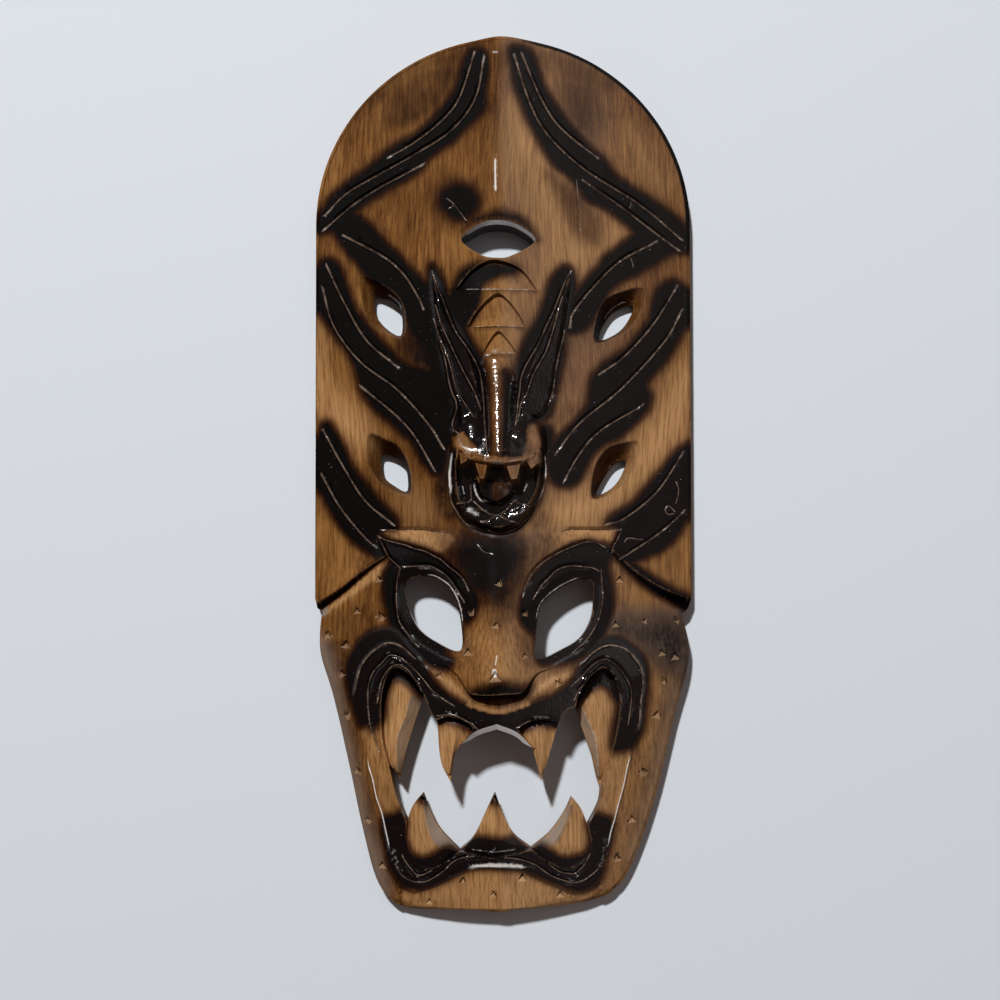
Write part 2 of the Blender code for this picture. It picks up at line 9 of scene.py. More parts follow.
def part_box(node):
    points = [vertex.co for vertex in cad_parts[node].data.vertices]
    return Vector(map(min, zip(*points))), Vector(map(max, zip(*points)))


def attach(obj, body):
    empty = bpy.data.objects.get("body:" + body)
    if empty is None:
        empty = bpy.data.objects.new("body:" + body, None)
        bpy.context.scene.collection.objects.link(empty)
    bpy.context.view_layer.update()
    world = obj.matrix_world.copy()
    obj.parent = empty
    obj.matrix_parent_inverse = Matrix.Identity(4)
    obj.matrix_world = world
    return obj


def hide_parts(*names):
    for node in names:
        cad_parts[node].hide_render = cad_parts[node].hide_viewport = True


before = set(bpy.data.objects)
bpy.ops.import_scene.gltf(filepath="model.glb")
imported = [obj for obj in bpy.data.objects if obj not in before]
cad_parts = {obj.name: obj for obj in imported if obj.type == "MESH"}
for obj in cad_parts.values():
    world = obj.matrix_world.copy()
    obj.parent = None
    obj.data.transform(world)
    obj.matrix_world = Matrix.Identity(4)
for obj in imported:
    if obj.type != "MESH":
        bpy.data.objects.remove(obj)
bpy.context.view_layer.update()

# A carved, burnt and lacquered wall mask on a pale floor, seen from above as it lies on its back.
# Places in the carving count from the mask's middle, in 433 steps across it and 1000 up it.
woodLow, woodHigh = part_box("mask")
stepAcross = (woodHigh.x - woodLow.x) / 433
stepUp = (woodHigh.y - woodLow.y) / 1000
ridgeAcross = -8

# Heights of the carving over the floor and the runs of its slopes, in metres
form = {
    "plateEdge": 0.0115,
    "plateRidge": 0.0185,
    "crownPeak": 0.0015,
    "rimChamfer": 0.0022,
    "rimChamferDrop": 0.0015,
    "cheekEdge": 0.0125,
    "mouthEdge": 0.0115,
    "chinEdge": 0.0100,
    "forehead": 0.0195,
    "noseBridge": 0.0215,
    "cheekTop": 0.0250,
    "noseTip": 0.0408,
    "lipTop": 0.0300,
    "lipArch": 0.0320,
    "mouthMiddle": 0.0270,
    "lowerLip": 0.0215,
    "chinMiddle": 0.0180,
    "chinTop": 0.0165,
    "browBlend": 0.0160,
    "hollowDepth": 0.0110,
    "hollowRim": 0.0140,
    "hollowSideRun": 0.0380,
    "hollowEndRun": 0.0140,
    "waviness": 0.00018,  # left by the knife
    "wavinessSize": 0.011,
    "faceRound": 2.2,  # the higher, the flatter the face and the steeper its sides
    "eyeSlope": 0.64,  # how much of its height the wood beside a small opening loses
    "eyeDip": 0.0030,
    "eyeDipRun": 0.0060,
    "scaleStep": 0.0010,
    "noseStep": 0.0010,
}

# Spacing of the mesh: along the carved lines, round the outline, on the headdress, on the face and
# on the back
mesh = {"line": 0.0011, "edge": 0.0014, "plate": 0.0021, "face": 0.0016, "back": 0.0070}
sharpAngle = 26  # in degrees: a steeper bend between two faces shows as an edge
batch = 1500000  # distances worked out at a time, to spare memory

faceOutline = [
    (-213, -152), (-211, -163), (-205, -168),
    (-207, -193), (-205, -218), (-191, -263), (-172, -342), (-158, -406), (-143, -461),
    (-127, -486), (-105, -497), (-64, -499), (-28, -499.7),
    (12, -499.5), (64, -495), (105, -487), (128, -473),
    (147, -442), (169, -380), (193, -286), (210, -216), (202, -169), (209, -166), (214, -152),
]
hollowTop = -95

lens = [(-48, 259), (-29, 276), (-7, 281), (17, 276), (37, 258), (10, 240), (-7, 237), (-26, 241)]
smallEyes = [
    (
        [(-162, 217), (-163, 195), (-153, 163), (-135, 152), (-114, 147), (-115, 183), (-132, 203)],
        [(-148, 197), (-147, 176), (-134, 159), (-118, 152), (-118, 178), (-130, 191)],
    ),
    (
        [(160, 204), (161, 185), (150, 162), (132, 147), (106, 140), (106, 164), (117, 189), (135, 199)],
        [(150, 187), (147, 173), (134, 156), (112, 146), (116, 163), (129, 180)],
    ),
    (
        [(-153, 34), (-154, 5), (-143, -17), (-129, -29), (-106, -34), (-106, -6), (-117, 18), (-133, 28)],
        [(-139, 12), (-137, -11), (-125, -23), (-110, -29), (-111, -5), (-121, 8)],
    ),
    (
        [(154, 26), (153, 8), (142, -16), (125, -32), (101, -39), (103, -6), (116, 16), (133, 24)],
        [(141, 5), (135, -13), (123, -27), (107, -34), (115, -16), (127, 1)],
    ),
]
bigEyes = [
    [
        (-109, -137), (-97, -128), (-75, -131), (-58, -145), (-49, -168), (-47, -210), (-75, -201),
        (-96, -184), (-107, -158),
    ],
    [
        (100, -134), (83, -133), (59, -145), (42, -162), (37, -190), (37, -220), (66, -209), (86, -196),
        (98, -175), (101, -152),
    ],
]

# Each fang or tooth: its sides along the mouth, its root in the wood, and the ridge down its middle
outerFangs = [
    (
        [(-88, -259), (-101, -297), (-110, -328), (-115, -352), (-122, -343), (-127, -338)],
        [(-127, -338), (-134, -310), (-136, -270), (-130, -240), (-120, -229), (-104, -237), (-88, -259)],
        [(-103, -262), (-109, -285), (-118, -310), (-117, -345)],
    ),
    (
        [(109, -364), (105, -354), (99, -327), (89, -299), (80, -272)],
        [
            (80, -272), (84, -258), (96, -240), (112, -230), (124, -240), (130, -270), (124, -310),
            (109, -364),
        ],
        [(85, -268), (93, -285), (103, -310), (107, -350)],
    ),
]
innerFangs = [
    (
        [(-46, -313), (-54, -327), (-58, -355), (-69, -331), (-73, -287)],
        [(-73, -287), (-62, -283), (-46, -286), (-33, -297), (-46, -313)],
        [(-52, -300), (-59, -345)],
    ),
    (
        [(61, -290), (52, -322), (42, -354), (37, -334), (32, -317)],
        [(32, -317), (17, -298), (30, -288), (47, -286), (61, -290)],
        [(38, -300), (43, -345)],
    ),
]
lowerTeeth = [
    (
        [(-107, -400), (-101, -384), (-89, -369), (-82, -386), (-70, -408), (-48, -432)],
        [(-48, -432), (-62, -443), (-80, -452), (-97, -446), (-108, -426), (-107, -400)],
        [(-88, -378), (-84, -404), (-70, -428)],
    ),
    (
        [(-48, -432), (-32, -416), (-19, -389), (-9, -368), (-1, -390), (11, -413), (31, -430)],
        [(31, -430), (-9, -439), (-48, -432)],
        [(-9, -378), (-9, -428)],
    ),
    (
        [(31, -430), (51, -413), (67, -391), (76, -373), (87, -387), (94, -404)],
        [(94, -404), (98, -426), (90, -442), (72, -451), (50, -444), (31, -430)],
        [(75, -382), (69, -402), (56, -424)],
    ),
]
teethHeights = {
    "outer": (0.0150, 0.0195),
    "inner": (0.0245, 0.0270),
    "lower": (0.0155, 0.0190),
    "rootStep": 0.0010,
}
# The rest of the mouth's edge: the gaps beside the fangs, the lips and the arch of the upper lip
leftGap = [(-127, -338), (-119, -371), (-107, -400)]
rightGap = [(94, -404), (106, -381), (109, -364)]
rightLip = [(80, -272), (69, -277), (61, -290)]
leftLip = [(-73, -287), (-79, -280), (-88, -259)]
arch = [(32, -317), (15, -300), (-7, -291), (-30, -299), (-46, -313)]

flames = [
    [(-33, 481), (-51, 427), (-73, 399), (-105, 374), (-133, 357)],
    [(-22, 475), (-32, 427), (-60, 389), (-108, 358), (-177, 319), (-205, 291)],
    [(-93, 348), (-142, 323), (-177, 300), (-207, 273)],
    [(22, 478), (44, 427), (66, 393), (110, 356)],
    [(13, 476), (31, 421), (53, 382), (95, 343), (158, 303), (206, 262)],
    [(93, 329), (130, 305), (164, 279), (203, 249)],
    [(-184, 266), (-141, 243), (-116, 222), (-98, 194), (-91, 178)],
    [(175, 258), (135, 236), (102, 203), (80, 174), (77, 160)],
    [(-204, 232), (-183, 188), (-157, 144), (-121, 112)],
    [(-208, 205), (-195, 161), (-164, 119), (-121, 86), (-86, 47), (-67, 17)],
    [(-163, 90), (-123, 57), (-100, 31), (-78, -7)],
    [(200, 206), (173, 163), (140, 126), (111, 104)],
    [(206, 179), (185, 142), (136, 88), (88, 48), (60, 12)],
    [(159, 68), (110, 38), (85, 9), (68, -22)],
    [(-205, 39), (-183, -1), (-157, -41), (-123, -70)],
    [(-207, -11), (-186, -48), (-158, -82), (-143, -95)],
    [(206, 15), (176, -30), (140, -60), (117, -69)],
    [(207, -52), (179, -77), (132, -108)],
]
# Four cuts in the left horn, then three in the right
hornCuts = [
    [
        (-81, 221), (-76, 206), (-69, 189), (-61, 168), (-53, 150), (-43, 136), (-34, 122), (-27, 106),
        (-24, 89), (-22, 71), (-21, 45), (-20, 34), (-19, 19), (-18, 9),
    ],
    [
        (-77, 182), (-71, 162), (-64, 145), (-57, 130), (-50, 115), (-43, 101), (-35, 86), (-31, 77),
        (-28, 69), (-25, 61),
    ],
    [
        (-79, 166), (-72, 145), (-65, 128), (-60, 112), (-57, 101), (-53, 86), (-49, 77), (-42, 66),
        (-34, 53),
    ],
    [
        (-76, 154), (-71, 136), (-66, 119), (-62, 96), (-58, 81), (-54, 73), (-53, 64), (-55, 56),
        (-58, 45), (-55, 38), (-50, 32),
    ],
    [
        (78, 223), (71, 210), (65, 195), (57, 175), (48, 156), (40, 137), (31, 122), (24, 109), (20, 96),
        (19, 84), (17, 71), (16, 56), (14, 42),
    ],
    [
        (68, 193), (65, 182), (60, 164), (55, 147), (49, 129), (42, 116), (34, 101), (27, 80), (23, 73),
        (20, 67), (19, 59), (16, 46),
    ],
    [(70, 154), (69, 146), (65, 131), (60, 107), (57, 84), (51, 67)],
]
# Cuts round the left eye, then round the right
rimCuts = [
    [(-112, -117), (-86, -116), (-74, -120), (-60, -131), (-44, -156)],
    [
        (-116, -120), (-119, -132), (-120, -149), (-119, -163), (-117, -176), (-113, -184), (-107, -192),
        (-101, -200), (-94, -206),
    ],
    [
        (106, -121), (100, -118), (91, -117), (80, -116), (70, -117), (60, -121), (52, -129), (44, -137),
        (38, -146), (34, -153),
    ],
    [
        (110, -121), (111, -135), (112, -150), (110, -164), (106, -178), (99, -191), (91, -201), (83, -208),
        (78, -213),
    ],
]
browCuts = {
    "browLeftTop": [(-137, -75), (-117, -75), (-94, -75), (-79, -77), (-61, -81)],
    "browLeft": [
        (-141, -82), (-134, -86), (-123, -89), (-111, -92), (-101, -96), (-89, -99), (-79, -104),
        (-70, -109), (-61, -117), (-53, -123), (-45, -131), (-39, -143),
    ],
    "browLeftEnd": [(-141, -83), (-136, -93), (-131, -103), (-126, -109), (-116, -118)],
    "browRightTop": [(63, -78), (78, -75), (110, -75), (133, -75)],
    "browRightEnd": [(134, -74), (130, -85), (125, -93), (123, -101)],
    "browRight": [
        (115, -95), (104, -89), (92, -89), (81, -93), (69, -98), (57, -104), (46, -111), (36, -120),
        (30, -129), (25, -139), (22, -151),
    ],
}
lipCuts = {
    "lipLeftMiddle": [
        (-149, -289), (-151, -269), (-151, -255), (-149, -244), (-144, -233), (-135, -224), (-127, -216),
        (-116, -218), (-106, -225), (-98, -232), (-88, -243), (-78, -255), (-66, -264), (-54, -271),
    ],
    "lipRightMiddle": [
        (76, -249), (88, -238), (99, -227), (111, -220), (119, -222), (128, -229), (135, -238), (141, -249),
        (143, -261), (141, -278), (139, -292),
    ],
    "lipLeftInner": [
        (-140, -268), (-138, -255), (-135, -243), (-129, -233), (-122, -227), (-115, -227), (-106, -232),
        (-99, -241), (-93, -249), (-89, -259),
    ],
    "lipRightInner": [
        (79, -264), (83, -255), (91, -246), (98, -238), (109, -229), (113, -229), (120, -237), (125, -245),
        (129, -257), (132, -269),
    ],
    "lowerLeft": [
        (-112, -438), (-106, -448), (-100, -455), (-96, -459), (-90, -459), (-80, -454), (-70, -448),
        (-62, -442), (-54, -436),
    ],
    "lowerRight": [
        (36, -434), (45, -441), (53, -448), (63, -455), (72, -457), (80, -457), (88, -450), (93, -442),
        (96, -436),
    ],
    "lowerLong": [
        (-118, -451), (-114, -458), (-106, -464), (-96, -467), (-86, -466), (-76, -461), (-66, -454),
        (-57, -445), (-48, -440), (-38, -438), (-23, -437), (-9, -438), (5, -439), (19, -441), (34, -446),
        (43, -452), (53, -459), (65, -464), (77, -467), (87, -466), (95, -461), (103, -455), (108, -449),
    ],
    "lowerMiddle": [(-39, -428), (-23, -432), (-9, -433), (12, -430), (22, -427)],
    "toothTopLeft": [(-72, -282), (-63, -281), (-52, -282), (-42, -287), (-34, -291), (-28, -297)],
    "toothTopRight": [(15, -295), (22, -291), (32, -287), (43, -287), (53, -288), (60, -290)],
    "stripSplit": [(-149, -289), (-147, -299), (-142, -312), (-138, -323)],
}
jawCuts = [
    [(-33, -43), (-24, -51), (-15, -58), (-7, -59), (3, -64), (18, -69)],
    [(-25, -68), (-15, -64), (-7, -59), (1, -54), (7, -48), (13, -42)],
    [(-51, -46), (-43, -45), (-36, -41)],
    [(-37, -26), (-36, -39)],
    [(16, -44), (22, -46), (30, -50)],
    [
        (-58, 9), (-59, -4), (-61, -20), (-60, -35), (-58, -45), (-53, -53), (-48, -61), (-41, -69),
        (-32, -73), (-23, -77), (-12, -79), (-2, -80), (8, -77), (17, -73), (24, -66), (31, -59), (36, -48),
        (42, -37), (46, -27), (48, -15), (48, 3),
    ],
]
# Lines of the carving: how wide and deep each group is cut, how wide its bare bottom shows, and
# how round its shoulders are (1 is a plain V)
carving = {
    "flame": {"width": 0.0032, "depth": 0.0020, "bare": 0.0019, "shoulder": 1.0},
    "horn": {"width": 0.0032, "depth": 0.0018, "bare": 0.0012, "shoulder": 1.4},
    "rim": {"width": 0.0044, "depth": 0.0016, "bare": 0.0011, "shoulder": 1.8},
    "brow": {"width": 0.0040, "depth": 0.0018, "bare": 0.0010, "shoulder": 1.5},
    "lip": {"width": 0.0046, "depth": 0.0020, "bare": 0.0011, "shoulder": 1.8},
    "jaw": {"width": 0.0022, "depth": 0.0009, "bare": 0.0013, "shoulder": 1.2},
    "scratch": {"width": 0.0009, "depth": 0.0002, "bare": 0.0008, "shoulder": 1.0},
}
scratches = [
    [(-64, 307), (-56, 300), (-43, 282)],
    [(-62, 296), (-56, 300)],
    [(198, -22), (200, -29), (197, -44)],
    [(194, -56), (188, -57), (184, -52), (188, -47), (194, -52)],
    [(138, -88), (142, -84), (158, -86)],
    [(-28, -93), (-22, -100), (-12, -103)],
    [(148, 237), (150, 230)],
    [(148, 305), (147, 299)],
    [(85, 329), (87, 300), (89, 273)],
]
carvedLines = {
    "flame": flames,
    "horn": hornCuts,
    "rim": rimCuts,
    "brow": list(browCuts.values()),
    "lip": list(lipCuts.values()),
    "jaw": jawCuts,
    "scratch": scratches,
}

# Raised ridges along the lips, worn bare, and along the strips beside the mouth, whose bright lines are
# painted highlights
lipRidges = [
    [
        (-165, -269), (-166, -258), (-164, -247), (-161, -234), (-156, -224), (-149, -215), (-140, -208),
        (-131, -203), (-121, -203), (-111, -208), (-103, -215), (-95, -222), (-91, -226),
    ],
    [
        (83, -232), (91, -222), (99, -214), (108, -208), (117, -205), (127, -206), (138, -210), (146, -218),
        (153, -228), (156, -239), (156, -253), (154, -264), (153, -275), (152, -289), (148, -301),
        (143, -309),
    ],
]
stripRidges = [
    [
        (-152, -321), (-150, -338), (-145, -355), (-141, -374), (-135, -391), (-131, -409), (-127, -427),
        (-125, -441),
    ],
    [
        (142, -315), (141, -328), (138, -340), (134, -359), (128, -381), (124, -397), (120, -410),
        (117, -424), (113, -438),
    ],
]
ridgeForm = {"width": 0.0028, "rise": 0.0010, "taper": 0.1}

# Painted highlights where edges and curves catch the lamp: how strongly, how wide a line, and where
paintedHighlights = [
    (0.95, 0.0009, stripRidges[0]),
    (0.95, 0.0009, stripRidges[1]),
    (1.00, 0.0013, [(-9, 358), (-9, 335), (-8.5, 311)]),
    (0.62, 0.0022, [(-14, 480), (-4, 480)]),
    (1.00, 0.0016, [(-57, 16), (-60, -8), (-60, -22), (-58, -37)]),
    (0.80, 0.0010, [(47, 13), (48.5, -5), (48, -20)]),
    (0.80, 0.0014, [(-33, -18), (-31, -33), (-24, -42), (-14, -43)]),
    (0.70, 0.0014, [(28, -21), (23, -33)]),
    (0.70, 0.0014, [(-46, -24), (-44, -36)]),
    (0.70, 0.0044, [(-42, -50), (-34, -56), (-25, -61)]),
    (0.50, 0.0030, [(8, -61), (18, -58), (26, -51)]),
    (0.50, 0.0018, [(-28, -66), (-12, -70)]),
    (0.80, 0.0011, [(-7, -214), (-7.5, -221), (-9, -228)]),
    (0.90, 0.0032, [(-9, -229), (-9.5, -235), (-9, -241)]),
    (0.85, 0.0030, [(-46, -451), (-25, -447.5), (-9, -447), (12, -447.5), (32, -451)]),
    (0.60, 0.0012, [(-42, -430), (-23, -432), (-9, -433), (12, -431), (22, -429)]),
    (0.42, 0.0060, [(-126, -420), (-121, -442), (-110, -460)]),
    (0.42, 0.0060, [(112, -412), (113, -436), (103, -456)]),
    (0.32, 0.0060, [(148, -216), (156, -240), (155, -268), (150, -298)]),
    (0.26, 0.0060, [(-162, -262), (-162, -238), (-150, -214), (-124, -203)]),
    (0.50, 0.0012, outerFangs[0][2]),
    (0.60, 0.0012, outerFangs[1][2]),
    (0.75, 0.0012, [(-92, -125.5), (-75, -128), (-57, -142), (-47, -166), (-45, -190)]),
    (0.65, 0.0012, [(96, -131), (83, -130), (59, -142), (41, -160), (35, -188)]),
    (0.70, 0.0012, [(-136, 199), (-128, 195), (-119, 186), (-116, 176)]),
    (0.65, 0.0012, [(148, 190), (137, 189), (124, 180), (115, 167)]),
    (0.45, 0.0010, [(-126, 13), (-118, 7), (-112, -4)]),
    (0.55, 0.0012, [(140, 8), (128, 5), (116, -10)]),
    (0.58, 0.0013, [(-57, 201), (-7, 200.5), (42, 200.5)]),
    (0.54, 0.0013, [(-43, 157), (-7, 157.5), (30, 158)]),
    (0.54, 0.0013, [(-26, 126), (-5, 126.5), (20, 127)]),
    (0.45, 0.0010, [(-46, -314), (-53, -328), (-57, -352)]),
    (0.45, 0.0010, [(32, -318), (38, -334), (42, -352)]),
]
# The upper lip's leaves, left and right: the upper edge of each and then the lower
leaves = [
    (
        [
            (-91, -226), (-72, -231), (-63, -236), (-56, -243), (-49, -251), (-43, -257), (-36, -263),
            (-20, -270),
        ],
        [
            (-91, -227), (-83, -238), (-76, -248), (-66, -256), (-56, -263), (-44, -268), (-34, -272),
            (-20, -271), (-9, -270),
        ],
    ),
    (
        [
            (-3, -269), (8, -269), (19, -266), (27, -262), (35, -253), (41, -246), (51, -241), (62, -237),
            (71, -235), (79, -234),
        ],
        [(5, -271), (19, -268), (33, -264), (47, -258), (57, -255), (71, -248), (79, -241), (83, -233)],
    ),
]
lowerEdge = [
    (-115, -468), (-106, -475), (-99, -477), (-89, -474), (-78, -470), (-66, -464), (-57, -459),
    (-44, -454), (-34, -449), (2, -449), (19, -452), (34, -458), (47, -465), (59, -470), (71, -476),
    (82, -479), (91, -477), (101, -472), (109, -465),
]
lowerEdgeForm = {"drop": 0.0012, "run": 0.0018}
leafForm = {"rise": 0.0012, "run": 0.0030}

notches = [
    [(-130, -106), (-157, -126), (-182, -147), (-206, -164)],
    [(122, -100), (149, -127), (176, -146), (206, -160)],
]
notchForm = {"tip": 0.0024, "width": 0.0084, "tipDepth": 0.0015, "depth": 0.0070}

leftHorn = [
    (-81, 220), (-60, 166), (-34, 121), (-22, 72), (-26, 40), (-50, 40), (-53, 64), (-62, 96), (-75, 154),
]
rightHorn = [(78, 221), (57, 173), (31, 121), (19, 83), (18, 50), (46, 55), (57, 84), (65, 130), (72, 165)]
hornForm = {"rise": 0.0035, "wall": 0.0030}
scales = [
    ([(-54, 200), (-42, 217), (-28, 229), (-11, 235), (13, 229), (28, 217), (40, 199)], 0.0030),
    ([(-41, 156), (-33, 171), (-20, 187), (-6, 196), (6, 188), (18, 173), (27, 157)], 0.0030),
    ([(-24, 125), (-17, 139), (-6, 152), (5, 143), (17, 126)], 0.0025),
]
noseEdge = [
    (-66, -228), (-52, -238), (-39, -257), (-25, -261), (5, -260), (23, -257), (37, -238), (59, -230),
    (78, -226),
]

dragonHead = [
    (-7, 60), (-28, 56), (-50, 50), (-60, 22), (-60, -21), (-53, -54), (-32, -74), (-2, -81), (24, -68),
    (41, -38), (49, 1), (48, 40), (25, 56),
]
dragonJaws = [
    (-50, 12), (-36, 2), (-7, -4), (22, -2), (39, 10), (38, -26), (28, -43), (12, -55), (-7, -60),
    (-26, -55), (-43, -45), (-51, -31),
]
dragonTeeth = [
    [(-51, 16), (-37, 1), (-49, -6)],
    [(-34, 1), (-15, -1), (-20, -21), (-27, -21)],
    [(1, -2), (22, 1), (17, -21), (8, -22)],
    [(24, 1), (41, 13), (42, -2), (31, -11)],
]
dragonLipTop = [
    (-58, 30), (-48, 17), (-42, 13), (-34, 11), (-27, 8), (-22, 6), (-11, 6), (-1, 4), (7, 2), (16, 4),
    (23, 5), (30, 7), (37, 12), (42, 19),
]
dragonLipFoot = [(-55, 19), (-47, 9), (-42, 2), (-35, -1), (-11, -3), (4, -3), (21, -3), (26, -2), (37, 7)]
dragonTongue = [(-4, -15), (3, -22), (7, -32), (4, -41), (-4, -44), (-12, -41), (-14, -31), (-10, -21)]
dragonThroat = [(-32, -14), (-31, -30), (-24, -42), (-7, -48), (8, -40), (12, -28)]
dragonForm = {
    "snoutTip": 0.0332,
    "snoutMiddle": 0.0268,
    "snoutRoot": 0.0195,
    "brow": 0.0230,
    "cheek": 0.0278,
    "lip": 0.0296,
    "lipRoll": 0.0010,
    "ring": 0.0236,
    "ringRoll": 0.0014,
    "tooth": 0.0280,
    "mouthFloor": 0.0160,
    "throat": 0.0045,
    "tongue": 0.0054,
    "bulb": 0.0015,
    "headWall": 0.0040,
    "jawWall": 0.0018,
    "throatRun": 0.0028,
    "tongueRun": 0.0045,
    "tongueWall": 0.0012,
    "lipRun": 0.0022,
    "halfWidth": 62,
    "snoutMiddleAt": 3,
    "roundness": 0.35,  # the lower, the flatter the head and the steeper its sides
}
bulbs = [((-35, 37), (10, 19)), ((19, 32), (9, 17))]

# Small three-cornered nicks in the face, the largest on the nose
noseNick = (-9, -240)
nickPlaces = [
    (-164, -167), (-136, -173), (-140, -131), (-198, -194), (-177, -205), (-181, -237), (-175, -284),
    (-163, -345), (-151, -400), (-135, -450), (-70, -239), (-45, -465), (-11, -480), (-82, -489),
    (21, -462), (63, -481), (126, -476), (127, -441), (144, -399), (157, -346), (172, -283),
    (180, -245), (178, -214), (196, -178), (159, -178), (126, -182), (131, -132), (60, -247),
    (193, -218), noseNick, (-39, -213), (-8, -183), (-35, -168), (24, -170), (24, -217),
    (-5, -136),
]
nickForm = {"size": 0.0062, "depth": 0.0022, "noseSize": 0.0088, "noseDepth": 0.0030, "steepest": 1.0}
